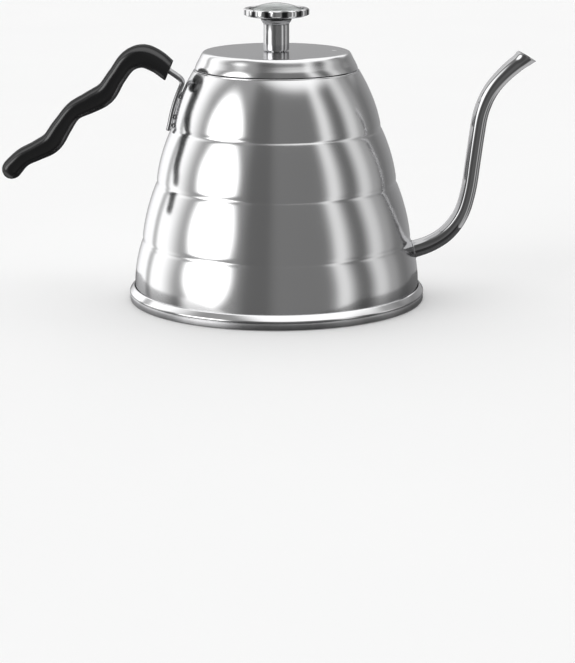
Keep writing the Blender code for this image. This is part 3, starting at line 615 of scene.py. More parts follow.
# ================================================================ kettle body
def raw_wall(z):
    for r0, z0, r1, z1, slope0 in TIERS:
        if z >= z1:
            height = z0 - z1
            slope1 = 2.0 * (r1 - r0) / height - slope0
            t = (z0 - z) / height
            return r0 + height * (slope0 * t + (slope1 - slope0) * t * t / 2.0)
    return TIERS[-1][2]


JOINTS = [t[1] for t in TIERS[1:]]


def wall(z):
    """Outer radius of the wall with the creases rolled: slightly soft, with a fine groove above."""
    near = min(JOINTS, key=lambda j: abs(j - z))
    r = raw_wall(z)
    if abs(z - near) < 2.4:
        total = weight = 0.0
        for i in range(-8, 9):
            w = math.exp(-0.5 * (i / 3.2) ** 2)
            total += w * raw_wall(z + i * 0.13)
            weight += w
        r = total / weight
    off = z - near - 0.5        # the wall rolls in softly above the crease and comes out sharper below
    if abs(off) < 3.4:
        r -= 0.21 * math.exp(-(off / (1.25 if off > 0.0 else 1.05)) ** 2)
    return r


def wall_heights():
    """Heights from the ledge down: close together in the creases, wider apart elsewhere."""
    out, z = [], LEDGE_Z - 0.5
    while z > BODY_BOTTOM_Z + 0.3:
        out.append(z)
        near = min(abs(j - z) for j in JOINTS)
        z -= 0.14 if near < 1.9 else (0.28 if near < 4.2 else 1.05)
    return out + [BODY_BOTTOM_Z]


def make_body():
    outer = [(wall(z), z) for z in wall_heights()]
    inner = [(r - SHEET, z) for r, z in outer if z < LEDGE_Z - SHEET - 0.9][::-3]
    inner = [(TIERS[-1][2] - SHEET, BODY_BOTTOM_Z)] + inner[1:]
    r0 = wall(LEDGE_Z)
    m = MOUTH_RADIUS
    top = rounded([(r0 - 0.05, LEDGE_Z - 0.9), (r0 - 0.25, LEDGE_Z), (m, LEDGE_Z),
                   (m, LEDGE_Z - NECK_DEPTH), (m + SHEET, LEDGE_Z - NECK_DEPTH),
                   (m + SHEET, LEDGE_Z - SHEET), (r0 - 0.9, LEDGE_Z - SHEET),
                   (r0 - SHEET, LEDGE_Z - SHEET - 0.7)],
                  (0.0, 0.45, 0.8, 0.25, 0.25, 0.3, 0.3, 0.0), 6)
    profile = outer + inner + list(reversed(top))
    ob = to_object("body_shell", turned(profile, AROUND), M["body"], "kettle",
                   ("kettle_body",))
    p0 = Vector((SPOUT_PATH[0][0], 0.0, SPOUT_PATH[0][1]))
    p1 = Vector((SPOUT_PATH[1][0], 0.0, SPOUT_PATH[1][1]))
    d = (p1 - p0).normalized()
    rings = [spout_ring(p0 + d * t, d, SPOUT_RADII[0][1] + GAP, 48) for t in (-9.0, 7.0)]
    cut(ob, loft(rings))
    ob.data.materials.clear()
    ob.data.materials.append(M["body"])
    return ob


def spout_ring(p, d, radius, sides, plane_normal=None):
    side = Vector((0.0, 1.0, 0.0))
    other = d.cross(side).normalized()
    ring = []
    for k in range(sides):
        a = TAU * k / sides
        q = p + side * (radius * math.cos(a)) + other * (radius * math.sin(a))
        if plane_normal is not None:
            q = q - d * ((q - p).dot(plane_normal) / d.dot(plane_normal))
        ring.append(q)
    return ring


def make_base():
    wall_in = TIERS[-1][2] + GAP
    band, bead = BAND_RADIUS, BEAD_RADIUS
    cap = [(0.0, 0.0), (20.0, 0.0), (44.0, 0.0)]
    # a shallow stamped ring on the underside
    cap += [(46.0, 0.0), (46.5, 0.12), (48.5, 0.12), (49.0, 0.0), (60.0, 0.0), (band - 1.2, 0.0)]
    cap += arc(band - 0.75, 0.75, 0.75, -88, 0, 8)
    cap += [(band, 1.4), (band, BAND_TOP_Z - 0.25), (band - 0.06, BAND_TOP_Z), (bead - 0.42, BAND_TOP_Z + 0.35),
            (bead - 0.48, BAND_TOP_Z + 0.5), (bead - 0.42, BAND_TOP_Z + 0.65)]
    edge = rounded([(bead - 0.42, BAND_TOP_Z + 0.65), (bead, BEAD_Z - 0.45), (bead, BEAD_Z + 0.25),
                    (bead - 1.8, CAP_TOP_Z - 0.3), (wall_in + 0.1, CAP_TOP_Z), (wall_in, CAP_TOP_Z - 0.4)],
                   (0.0, 0.4, 0.95, 0.9, 0.1, 0.0), 8)
    cap += edge[1:]
    cap += [(wall_in, 1.7), (wall_in - 0.8, CAP_FLOOR), (0.0, CAP_FLOOR)]
    to_object("base_shell", turned(cap, AROUND), M["base"], "kettle",
              ("base_cap",))
    r_in = TIERS[-1][2] - SHEET - GAP
    pan = [(0.0, PAN_TOP_Z)]
    for i in range(1, 7):       # spun rings of the inner pan
        r = 9.0 * i
        pan += [(r - 0.5, PAN_TOP_Z), (r, PAN_TOP_Z - 0.06), (r + 0.5, PAN_TOP_Z)]
    pan += [(r_in - 1.6, PAN_TOP_Z)]
    pan += arc(r_in - 1.1, PAN_TOP_Z - 1.1, 1.1, 80, 0, 6)
    pan += [(r_in, BODY_BOTTOM_Z), (r_in - 0.7, BODY_BOTTOM_Z), (r_in - 0.7, PAN_TOP_Z - 1.2),
            (r_in - 1.1, PAN_TOP_Z - SHEET), (0.0, PAN_TOP_Z - SHEET)]
    to_object("pan_disc", turned(pan, 160), M["inside"], "kettle",
              ("bottom_pan",))


def make_spout():
    count, sides = 150, 64
    pts, total = spline([(x, 0.0, z) for x, z in SPOUT_PATH], count)
    pts = smoothed(pts, 14)
    dirs = tangents(pts)
    tip_n = Vector((TIP_NORMAL[0], 0.0, TIP_NORMAL[1])).normalized()
    last = count - 1
    bm = bmesh.new()
    outer, inner = [], []
    for i, (p, d) in enumerate(zip(pts, dirs)):
        r = table(SPOUT_RADII, i / last)
        left = (last - i) * total / last
        plane = None
        if left < 6.0:          # the last rings lean over to lie along the slanted lip
            f = 1.0 - left / 6.0
            f = f * f * (3.0 - 2.0 * f)
            plane = d.lerp(tip_n, f).normalized()
        near = i * total / last
        if near < 4.0:
            f = 1.0 - near / 4.0
            plane = d.lerp(Vector((1.0, 0.0, 0.12)).normalized(), f).normalized()
        outer.append(spout_ring(p, d, r, sides, plane))
        inner.append(spout_ring(p, d, r - SPOUT_WALL, sides, plane))
    # rounded lip: the last ring is drawn in on both sides
    lip = []
    for s, back in ((0.0, 0.22), (0.12, 0.06), (0.5, 0.0), (0.88, 0.06), (1.0, 0.22)):
        lip.append([o.lerp(q, s) - tip_n * back for o, q in zip(outer[-1], inner[-1])])
    rows = outer[:-1] + lip + list(reversed(inner[:-1]))
    vs = [[bm.verts.new(q) for q in row] for row in rows]
    skin(bm, vs + [vs[0]])
    to_object("spout_pipe", bm, M["spout"], "kettle", ("spout_tube",), 50.0)

    # polished weld bead where the tube meets the wall
    p0, d = pts[0], (pts[6] - pts[0]).normalized()
    side = Vector((0.0, 1.0, 0.0))
    other = d.cross(side).normalized()
    radius = SPOUT_RADII[0][1]
    rings = []
    n = 96
    for k in range(n):
        a = TAU * k / n
        out = side * math.cos(a) + other * math.sin(a)
        lo, hi = -8.0, 10.0
        for _ in range(40):     # the place along the tube where it leaves the wall
            mid = (lo + hi) / 2.0
            q = p0 + out * radius + d * mid
            if math.hypot(q.x, q.y) > wall(q.z):
                hi = mid
            else:
                lo = mid
        root = p0 + out * radius + d * hi
        size = 0.62 + 0.03 * math.sin(a * 9.0)
        on_tube = root + d * size + out * 0.03
        # the foot of the bead lies on the wall, a little way out from the tube
        foot = root + out * size
        h = math.hypot(foot.x, foot.y)
        w = wall(foot.z) + 0.03
        foot = Vector((foot.x * w / h, foot.y * w / h, foot.z))
        ring = []
        for j in range(9):
            t = j / 8.0
            ring.append(on_tube * (1 - t) ** 2 + (root * 0.75 + (on_tube + foot) * 0.125) * (2 * t * (1 - t))
                        + foot * t * t)
        ring += [foot - out * 0.6 - d * 0.35, root - out * 0.3 - d * 0.35, on_tube - out * 0.3]
        rings.append(ring)
    bm = bmesh.new()
    vs = [[bm.verts.new(q) for q in ring] for ring in rings]
    skin(bm, vs + [vs[0]])
    to_object("spout_weld", bm, M["weld"], "kettle", (), 60.0)


# ================================================================ handle
def grip_curve(count):
    pts, total = spline([(x, 0.0, z) for x, z in GRIP_PATH], count)
    return pts, tangents(pts), total


def make_grip():
    dense, _, total = grip_curve(900)
    dense = smoothed(dense, 60)
    dirs = tangents(dense)
    side = Vector((0.0, 1.0, 0.0))
    face = Vector(GRIP_FACE).normalized()
    body = total - GRIP_END
    places = [(0.0, 0.80), (0.02, 0.93), (0.14, 0.965), (0.38, 0.988), (0.75, 1.0)]
    places += [(0.75 + (body - 0.75) * i / 170.0, 1.0) for i in range(1, 171)]
    places += [(body + (GRIP_END - 0.20) * math.sin(math.radians(a)), 1.0) for a in range(6, 88, 6)]
    sides = 64
    rings = []
    for s, pull in places:
        k = min(int(round(s / total * 899)), 899)
        p, d = dense[k], dirs[k]
        scale = 1.0
        if s > body:
            scale = math.sqrt(max(0.0, 1.0 - ((s - body) / GRIP_END) ** 2))
        thick = GRIP_THICKNESS - GRIP_TAPER * s / total \
            + GRIP_SWELL * math.cos(TAU * (s - GRIP_CREST) / GRIP_WAVE)
        half_t = thick / 2.0 * scale * pull * 0.986
        half_w = GRIP_WIDTH / 2.0 * (0.95 + 0.05 * math.cos(TAU * s / total)) \
            * (0.35 + 0.65 * scale) * pull
        up = side.cross(d).normalized()
        ring = []
        for j in range(sides):
            a = TAU * (j + 0.5) / sides
            c, q = math.cos(a), math.sin(a)
            e = 2.0 / 3.1
            v = p + side * (half_w * math.copysign(abs(c) ** e, c)) \
                + up * (half_t * math.copysign(abs(q) ** e, q))
            if s < 6.0:         # the first rings lie along the cut front face
                f = 1.0 - s / 6.0
                n = d.lerp(face if d.dot(face) > 0 else -face, f).normalized()
                v = v - d * ((v - p).dot(n) / d.dot(n))
            ring.append(v)
        rings.append(ring)
    grip = to_object("grip_moulding", loft(rings), M["grip"], "kettle",
                     ("handle_grip",), 42.0)
    # the socket that the hairpin goes into
    pts, dirs, total = grip_curve(160)
    half = WIRE_DIAMETER / 2.0 + GAP
    reach = 9.0
    keep = [(p, d) for i, (p, d) in enumerate(zip(pts, dirs)) if total * i / 159.0 <= reach]
    first = keep[0]
    rings = []
    for p, d in [(first[0] - first[1] * 3.0, first[1])] + keep[::3]:
        up = side.cross(d).normalized()
        ring = []
        for k in range(40):
            a = TAU * (k + 0.5) / 40
            y = math.copysign(WIRE_NECK_HALF, math.cos(a))
            ring.append(p + side * (y + half * math.cos(a)) + up * (half * math.sin(a)))
        rings.append(ring)
    cut(grip, loft(rings))
    grip.data.materials.clear()
    grip.data.materials.append(M["grip"])
    return grip


def wire_path():
    """Centre line of the hairpin, as in the CAD: up one leg, round inside the grip, down the other."""
    half = WIRE_DIAMETER / 2.0
    stand = half + GAP
    leg = []
    steps = 7
    z_top = 105.6
    for i in range(steps):
        t = i / (steps - 1)
        z = WIRE_FOOT_Z + (z_top - WIRE_FOOT_Z) * t
        y = WIRE_FOOT_HALF + (WIRE_NECK_HALF + 0.5 - WIRE_FOOT_HALF) * t ** 1.15
        slope = (raw_wall(z - 0.5) - raw_wall(z + 0.5))
        reach = stand * math.sqrt(1.0 + slope * slope) + 0.1
        r = raw_wall(z) + reach
        leg.append(Vector((-math.sqrt(r * r - y * y), y, z)))
    pts, dirs, total = grip_curve(160)
    inside = [(p, d) for i, (p, d) in enumerate(zip(pts, dirs))
              if total * i / 159.0 <= WIRE_DEPTH - WIRE_NECK_HALF]
    leg.append(Vector((-45.85, WIRE_NECK_HALF + 0.15, 107.2)))
    leg.append(Vector((-46.55, WIRE_NECK_HALF, 108.45)))
    leg.append(Vector((-48.0, WIRE_NECK_HALF, 109.75)))
    count = 9
    for i in range(count):
        p, d = inside[int(round(i * (len(inside) - 1) / (count - 1)))]
        leg.append(Vector((p.x, WIRE_NECK_HALF, p.z)))
    centre, direction = inside[-1]
    loop = []
    for i in range(1, 6):
        a = math.pi * i / 6.0
        loop.append(Vector((centre.x, 0.0, centre.z)) + direction * (WIRE_NECK_HALF * math.sin(a))
                    + Vector((0.0, WIRE_NECK_HALF * math.cos(a), 0.0)))
    other = [Vector((p.x, -p.y, p.z)) for p in reversed(leg)]
    return leg + loop + other


def make_wire():
    pts, total = spline([tuple(p) for p in wire_path()], 420)
    pts = smoothed(pts, 8)
    dirs = tangents(pts)
    side = dirs[0].orthogonal().normalized()
    rings = []
    radius = WIRE_DIAMETER / 2.0
    sides = 28
    last = len(pts) - 1
    for i, (p, d) in enumerate(zip(pts, dirs)):
        side = (side - d * side.dot(d)).normalized()
        other = d.cross(side)
        end = min(i, last - i) * total / last
        r = radius if end > 0.5 else radius * (0.80 + 0.20 * math.sin(math.pi / 2 * end / 0.5))
        rings.append([p + side * (r * math.cos(TAU * k / sides))
                      + other * (r * math.sin(TAU * k / sides)) for k in range(sides)])
    to_object("bracket_wire", loft(rings), M["wire"], "kettle", ("handle_wire",), 50.0)

    # resistance weld nuggets between each leg and the wall
    bm = bmesh.new()
    for y_sign in (1.0, -1.0):
        for z in (87.2, 91.2, 100.5):
            t = (z - WIRE_FOOT_Z) / (105.6 - WIRE_FOOT_Z)
            y = (WIRE_FOOT_HALF + (WIRE_NECK_HALF + 0.5 - WIRE_FOOT_HALF) * t ** 1.15) * y_sign
            r = wall(z)
            foot = Vector((-math.sqrt(r * r - y * y), y, z))
            normal = Vector((foot.x, foot.y, 0.0)).normalized()
            normal = (normal + Vector((0.0, 0.0, 0.33))).normalized()
            up = (Vector((0.0, 0.0, 1.0)) - normal * normal.z).normalized()
            right = up.cross(normal)
            rows = []
            for i in range(9):  # a low dome with a spread foot
                f = i / 8.0
                rr = 1.2 * (1.0 - f) ** 0.6 + 0.02
                lift = -0.15 + 0.75 * f ** 0.8
                rows.append([foot + normal * lift + right * (rr * 1.1 * math.cos(TAU * k / 24))
                             + up * (rr * 1.35 * math.sin(TAU * k / 24)) for k in range(24)])
            vs = [[bm.verts.new(q) for q in row] for row in rows]
            skin(bm, vs)
            bm.faces.new(list(reversed(vs[0])))
            bm.faces.new(vs[-1])
    to_object("bracket_welds", bm, M["weld"], "kettle", (), 60.0)


# ================================================================ lid
def make_lid():
    t = LID_SHEET
    prof = [(STEM_HOLE, LID_TOP_Z - 0.02), (STEM_HOLE + 2.8, LID_TOP_Z)]
    prof += [(r, LID_TOP_Z) for r in (12.0, 18.0, 24.0, 29.0)]
    # the edge and the skirt as one smooth line through the CAD's points
    line, _ = spline([(31.8, LID_TOP_Z, 0.0)] + [(r, z, 0.0) for r, z in LID_EDGE + LID_SKIRT]
                     + [(LID_SKIRT[-1][0] + 0.12, LID_SKIRT_Z + 0.25, 0.0)], 64)
    line = smoothed(line, 5)
    skirt = [(min(p.x, LID_SKIRT[-1][0] + 0.13), min(p.y, LID_TOP_Z)) for p in line]
    prof += skirt
    prof += [(LID_SKIRT[-1][0] + 0.05, LID_SKIRT_Z + 0.08), (LID_SKIRT[-1][0] - 0.1, LID_SKIRT_Z),
             (LID_SKIRT[-1][0] - t + 0.1, LID_SKIRT_Z + 0.03), (LID_SKIRT[-1][0] - t, LID_SKIRT_Z + 0.2)]
    inner = []
    for i in range(len(skirt) - 4, 3, -4):
        a, b = Vector(skirt[i - 1]), Vector(skirt[i + 1])
        d = (b - a).normalized()
        inner.append((skirt[i][0] + d.y * t, skirt[i][1] - d.x * t))
    prof += [p for p in inner if p[1] > LID_SKIRT_Z + 0.3]
    prof += [(18.0, LID_TOP_Z - t), (STEM_HOLE, LID_TOP_Z - t)]
    lid = to_object("lid_shell", turned(prof, AROUND), M["lid"], "lid",
                    ("lid_cover",), 40.0)
    ring = []
    for z, r in ((LID_TOP_Z - 3.0, 1.0), (LID_TOP_Z - 0.12, 1.0), (LID_TOP_Z + 0.01, 1.12),
                 (LID_TOP_Z + 2.0, 1.6)):
        ring.append([Vector((VENT_X + r * VENT_DIAMETER / 2.0 * math.cos(TAU * k / 40),
                             r * VENT_DIAMETER / 2.0 * math.sin(TAU * k / 40), z)) for k in range(40)])
    cut(lid, loft(ring))
    lid.data.materials.clear()
    lid.data.materials.append(M["lid"])

    z1 = LID_TOP_Z - LID_SHEET - GAP
    r = RING_RADIUS
    w = 0.6
    pts = [(30.5, z1), (r, z1), (r, RING_BOTTOM_Z), (r - 0.95, RING_BOTTOM_Z + 0.3),
           (r - w, RING_BOTTOM_Z + 1.4), (r - w, z1 - w), (30.5, z1 - w)]
    prof = rounded(pts, (0.1, 1.2, 0.4, 0.25, 0.5, 0.7, 0.1), 6)
    # two rolled beads stiffen the plug ring
    out = []
    for (ra, za), (rb, zb) in zip(prof, prof[1:] + prof[:1]):
        out.append((ra, za))
        if abs(za - zb) > 6.0:
            for i in range(1, 40):
                f = i / 40.0
                zz = za + (zb - za) * f
                dent = 0.28 * (math.exp(-((zz - 110.2) / 0.55) ** 2) + math.exp(-((zz - 116.4) / 0.55) ** 2))
                out.append((ra + (rb - ra) * f - dent, zz))
    to_object("lid_plug_ring", turned(out, 192), M["satin"], "lid",
              ("lid_inner_ring",), 40.0)


def make_knob():
    z0 = LID_TOP_Z + GAP
    under = LID_TOP_Z - LID_SHEET
    bore = PROBE_RADIUS + GAP
    s = STEM_RADIUS
    spigot_end = under - 7.4
    prof = [(bore, STEM_TOP_Z), (7.2, STEM_TOP_Z)]
    prof += arc(7.2, STEM_TOP_Z - 0.3, 0.3, 90, -30, 6)
    for i in range(9):          # the flare under the head
        f = i / 8.0
        e = f * f * (3.0 - 2.0 * f)
        prof.append((7.3 + (s - 7.3) * e, STEM_TOP_Z - 0.6 - 1.9 * f))
    prof += [(s, STEM_TOP_Z - 6.0), (s, z0 + 1.2), (s, z0 + 0.4), (s - 0.12, z0 + 0.1), (s - 0.4, z0)]
    prof += [(SPIGOT_RADIUS, z0)]
    # thread of the spigot, as fine rings
    z = z0 - 0.9
    while z > spigot_end + 0.9:
        prof += [(SPIGOT_RADIUS, z), (SPIGOT_RADIUS - 0.22, z - 0.22), (SPIGOT_RADIUS, z - 0.44)]
        z -= 0.5
    prof += [(SPIGOT_RADIUS - 0.5, spigot_end), (bore, spigot_end)]
    to_object("knob_column", turned(prof, 128), M["stem"], "lid",
              ("knob_stem",), 40.0)

    z = STEM_TOP_Z + GAP
    outer = rounded([(7.4, z), (8.6, z + 0.22), (13.9, z + 0.95), (14.75, z + 1.6), (14.75, CASE_TOP_Z)],
                    (0.3, 0.8, 2.5, 0.8, 0.0), 8)
    outer = [p for p in outer if p[0] > 7.3]
    case = [(bore, z)] + outer
    case += [(14.0, CASE_TOP_Z), (14.0, z + 2.0), (13.4, z + 1.6), (8.4, z + 0.85), (bore, z + 0.75)]
    to_object("dial_bowl", turned(case, 128), M["stem"], "lid",
              ("dial_case",), 40.0)

    def flutes(r, zz, a):
        if r < 15.25:
            return 0.0
        wave = 0.5 - 0.5 * math.cos(HEAD_LOBES * a)
        return -0.68 * wave ** 1.25 * min(1.0, (r - 15.25) / 0.6)
    inn = 15.1
    top = [(13.4, BEZEL_TOP_Z - 0.12), (13.6, BEZEL_TOP_Z), (14.9, BEZEL_TOP_Z)]
    top += arc(HEAD_RADIUS - 0.9, BEZEL_TOP_Z - 0.9, 0.9, 84, 6, 7)
    top += [(HEAD_RADIUS, BEZEL_TOP_Z - 1.5), (HEAD_RADIUS, BEZEL_BOTTOM_Z + 0.9)]
    top += arc(HEAD_RADIUS - 0.6, BEZEL_BOTTOM_Z + 0.6, 0.6, -6, -84, 6)
    top += [(inn, BEZEL_BOTTOM_Z), (inn, BEZEL_TOP_Z - 0.35), (14.9, BEZEL_TOP_Z - 0.3),
            (13.4, BEZEL_TOP_Z - 0.3)]
    to_object("dial_rim", turned(top, 288, flutes), M["rim"], "lid",
              ("dial_bezel",), 40.0)

    # lens
    top_z, low = LENS_EDGE_Z, LENS_EDGE_Z - 0.7
    dome = 13.0
    rise = LENS_APEX_Z - top_z
    lens = [(0.0, top_z + rise)]
    lens += [(dome * i / 16.0, top_z + rise * (1.0 - (i / 16.0) ** 2)) for i in range(1, 17)]
    lens += [(14.7, top_z), (14.7, low)]
    lens += [(dome * i / 12.0, low + (rise - 0.1) * (1.0 - (i / 12.0) ** 2)) for i in range(12, 0, -1)]
    lens += [(0.0, low + rise - 0.1)]
    to_object("dial_glass", turned(lens, 128), M["glass"], "lid", ("dial_lens",), 40.0)

    # dial plate with raised rim line
    z = DIAL_Z + 0.8
    plate = [(0.95, z), (12.3, z), (12.6, z - 0.02), (13.3, z - 0.02), (13.3, DIAL_Z + 0.35), (0.95, DIAL_Z + 0.35)]
    to_object("dial_face", turned(plate, 128), M["dial"], "lid", ("dial_plate",), 40.0)
    make_dial_marks(z + 0.012)


def flat_prism(bm, outline, z0, z1):
    """A thin closed slab over a flat outline."""
    low = [bm.verts.new((x, y, z0)) for x, y in outline]
    high = [bm.verts.new((x, y, z1)) for x, y in outline]
    n = len(outline)
    bm.faces.new(list(reversed(low)))
    bm.faces.new(high)
    for k in range(n):
        m = (k + 1) % n
        bm.faces.new((low[k], low[m], high[m], high[k]))


def dial_angle(degrees_c):
    """Direction on the dial of a temperature, clockwise from above."""
    return DIAL_ZERO - DIAL_SWEEP * degrees_c / DIAL_SPAN_C


def make_dial_marks(z):
    bm = bmesh.new()
    for i in range(51):
        c = i * 2.0
        a = dial_angle(c)
        long_mark = i % 5 == 0
        r1, r0 = 12.0, (10.2 if long_mark else 11.1)
        w = 0.16 if long_mark else 0.07
        ca, sa = math.cos(a), math.sin(a)
        outline = [(r0 * ca + w * sa, r0 * sa - w * ca), (r1 * ca + w * sa, r1 * sa - w * ca),
                   (r1 * ca - w * sa, r1 * sa + w * ca), (r0 * ca - w * sa, r0 * sa + w * ca)]
        flat_prism(bm, outline, z - 0.01, z + 0.02)
    # arc line round the scale
    steps = 120
    ring = []
    for i in range(steps + 1):
        a = dial_angle(DIAL_SPAN_C * i / steps)
        ring.append((math.cos(a), math.sin(a)))
    for (c0, s0), (c1, s1) in zip(ring, ring[1:]):
        flat_prism(bm, [(12.0 * c0, 12.0 * s0), (12.12 * c0, 12.12 * s0),
                        (12.12 * c1, 12.12 * s1), (12.0 * c1, 12.0 * s1)], z - 0.01, z + 0.02)
    to_object("dial_marks", bm, M["ink"], "lid", (), 30.0)
    # numbers, upright when seen from the side opposite the gap in the scale
    for i in range(6):
        value = i * 20
        a = dial_angle(value)
        curve = bpy.data.curves.new("dial_number_%d" % value, 'FONT')
        curve.body = str(value)
        curve.size = 2.5
        curve.align_x = 'CENTER'
        curve.align_y = 'CENTER'
        curve.extrude = 0.015
        curve.resolution_u = 4
        tmp = bpy.data.objects.new("dial_number_tmp", curve)
        bpy.context.scene.collection.objects.link(tmp)
        bpy.context.view_layer.update()
        dg = bpy.context.evaluated_depsgraph_get()
        mesh = bpy.data.meshes.new_from_object(tmp.evaluated_get(dg), depsgraph=dg)
        bpy.data.objects.remove(tmp, do_unlink=True)
        bpy.data.curves.remove(curve)
        bm = bmesh.new()
        bm.from_mesh(mesh)
        bpy.data.meshes.remove(mesh)
        # the gap in the scale faces -Y, so the numbers read upright from there
        place = Matrix.Translation((8.5 * math.cos(a), 8.5 * math.sin(a), z + 0.005))
        bmesh.ops.transform(bm, matrix=place, verts=bm.verts)
        to_object("dial_number_%d" % value, bm, M["ink"], "lid", (), 30.0)


def make_probe():
    top = STEM_TOP_Z + GAP + 0.75 + 0.35
    z0 = PROBE_TIP_Z + 2.2
    flange = 3.6
    r = PROBE_RADIUS
    tube = [(PROBE_BORE, top + 0.5), (flange, top + 0.5), (flange, top), (r, top)]
    tube += [(r, z0 + 0.12), (r - 0.08, z0), (PROBE_BORE, z0)]
    to_object("probe_sheath", turned(tube, 64), M["satin"], "lid", ("probe_tube",), 40.0)
    tip = [(0.0, z0 + 1.5), (PROBE_BORE - GAP, z0 + 1.5), (PROBE_BORE - GAP, z0 - GAP), (r - 0.08, z0 - GAP),
           (r, z0 - GAP - 0.12)]
    tip += arc(r - 1.1, PROBE_TIP_Z + 1.1, 1.1, 0, -84, 8)
    tip += [(0.0, PROBE_TIP_Z)]
    to_object("probe_end", turned(tip, 64), M["satin"], "lid", ("probe_tip",), 40.0)


def make_pointer():
    low, top = HUB_LOW_Z, HUB_LOW_Z + 0.85
    hub = [(SPINDLE_RADIUS + 0.06, top - 0.18), (SPINDLE_RADIUS + 0.2, top - 0.02), (0.95, top)]
    hub += arc(1.5, top - 0.3, 0.3, 90, 0, 5)
    hub += [(1.8, low), (SPINDLE_RADIUS + 0.06, low)]
    bm = turned(hub, 64)
    outline = [(-4.6, -0.75), (-4.3, -0.72), (-1.2, -0.6), (6.5, -0.55), (11.4, -0.14), (11.6, 0.0),
               (11.4, 0.14), (6.5, 0.55), (-1.2, 0.6), (-4.3, 0.72), (-4.6, 0.75)]
    # blade in two halves, so that the bore of the hub stays open
    for part in ([p for p in outline if p[0] >= -1.3], [p for p in outline if p[0] <= -1.1]):
        xs = [p[0] for p in part]
        inner_x = min(xs) if max(xs) > 5 else max(xs)
        part = [(1.2 if max(xs) > 5 and p[0] == inner_x else p[0], p[1]) for p in part]
        flat_prism(bm, part, low + 0.1, low + 0.45)
    bmesh.ops.rotate(bm, cent=(0, 0, 0), matrix=Matrix.Rotation(dial_angle(REST_C), 3, 'Z'), verts=bm.verts)
    to_object("pointer_needle", bm, M["needle"], "pointer", ("dial_pointer",), 35.0)


make_body()
make_base()
make_spout()
make_grip()
make_wire()
make_lid()
make_knob()
make_probe()
make_pointer()

# ---------------------------------------------------------------- CAD nodes that stay as they are
KEPT = {
    "heat_core": "alu",
    "grip_pin": "satin",
    "stem_seal": "rubber",
    "stem_washer": "satin",
    "stem_nut": "satin",
    "lens_gasket": "rubber",
    "bimetal_coil": "bimetal",
    "spindle_bush": "bimetal",
    "pointer_spindle": "satin",
}
for node, key in KEPT.items():
    mesh = NODES[node].data
    mesh.materials.clear()
    mesh.materials.append(M[key])


# ================================================================ stage
def make_stage():
    """A plain pale floor that turns up smoothly far behind, so that no horizon shows."""
    prof = [(0.0, 0.0), (0.4, 0.0), (1.0, 0.0), (2.5, 0.0), (5.0, 0.0)]
    prof += [(5.0 + 3.0 * math.sin(math.radians(a)), 3.0 - 3.0 * math.cos(math.radians(a)))
             for a in range(6, 91, 6)]
    prof += [(8.0, 7.0)]
    bm = bmesh.new()
    rows = []
    for r, z in prof:
        if r == 0.0:
            rows.append([bm.verts.new((0.0, 0.0, 0.0))])
        else:
            rows.append([bm.verts.new((r * math.cos(TAU * k / 96), r * math.sin(TAU * k / 96), z))
                         for k in range(96)])
    for one, two in zip(rows, rows[1:]):
        for k in range(96):
            m = (k + 1) % 96
            if len(one) == 1:
                bm.faces.new((one[0], two[k], two[m]))
            else:
                bm.faces.new((one[k], two[k], two[m], one[m]))
    mesh = bpy.data.meshes.new("studio_floor")
    bm.to_mesh(mesh)
    bm.free()
    mesh.shade_smooth()
    mat, g, b = new_material("pale_floor")
    p = g.coords()
    cloud = g.noise(p, 6.0, 3.0, 0.5)
    g.put(b.inputs["Base Color"], g.mix(cloud, (0.93, 0.93, 0.93), (0.95, 0.95, 0.948)))
    g.put(b.inputs["Normal"], g.bump(g.noise(p, 900.0, 3.0), 0.1, 0.0001))
    b.inputs["Roughness"].default_value = 0.9
    b.inputs["Specular IOR Level"].default_value = 0.0
    mesh.materials.append(mat)
    floor = bpy.data.objects.new("studio_floor", mesh)
    bpy.context.scene.collection.objects.link(floor)
    # the floor is seen and takes the shadow, but the steel mirrors the dark lower half of the room
    floor.visible_glossy = False
    floor.visible_diffuse = False
    floor.visible_shadow = False
    floor.visible_transmission = False


def make_card():
    """A dark glossy board under the kettle.  Only the steel mirrors it; it isn't seen itself."""
    x0, x1, y0, y1, z = -131.0, 131.0, -89.0, 65.0, 0.3
    bm = bmesh.new()
    nx, ny = 26, 16
    grid = [[bm.verts.new((x0 + (x1 - x0) * i / nx, y0 + (y1 - y0) * j / ny, z)) for i in range(nx + 1)]
            for j in range(ny + 1)]
    for j in range(ny):
        for i in range(nx):
            bm.faces.new((grid[j][i], grid[j][i + 1], grid[j + 1][i + 1], grid[j + 1][i]))
    bmesh.ops.transform(bm, matrix=Matrix.Scale(MM, 4), verts=bm.verts)
    mesh = bpy.data.meshes.new("studio_card")
    bm.to_mesh(mesh)
    bm.free()
    mat, g, b = new_material("dark_card")
    cloud = g.noise(g.coords(), 30.0, 3.0, 0.5)
    g.put(b.inputs["Base Color"], g.mix(cloud, (0.040, 0.040, 0.041), (0.050, 0.050, 0.051)))
    b.inputs["Roughness"].default_value = 0.12
    b.inputs["Specular IOR Level"].default_value = 1.0
    mesh.materials.append(mat)
    card = bpy.data.objects.new("studio_card", mesh)
    bpy.context.scene.collection.objects.link(card)
    card.visible_camera = False
    card.visible_diffuse = False
    card.visible_shadow = False
    card.visible_transmission = False


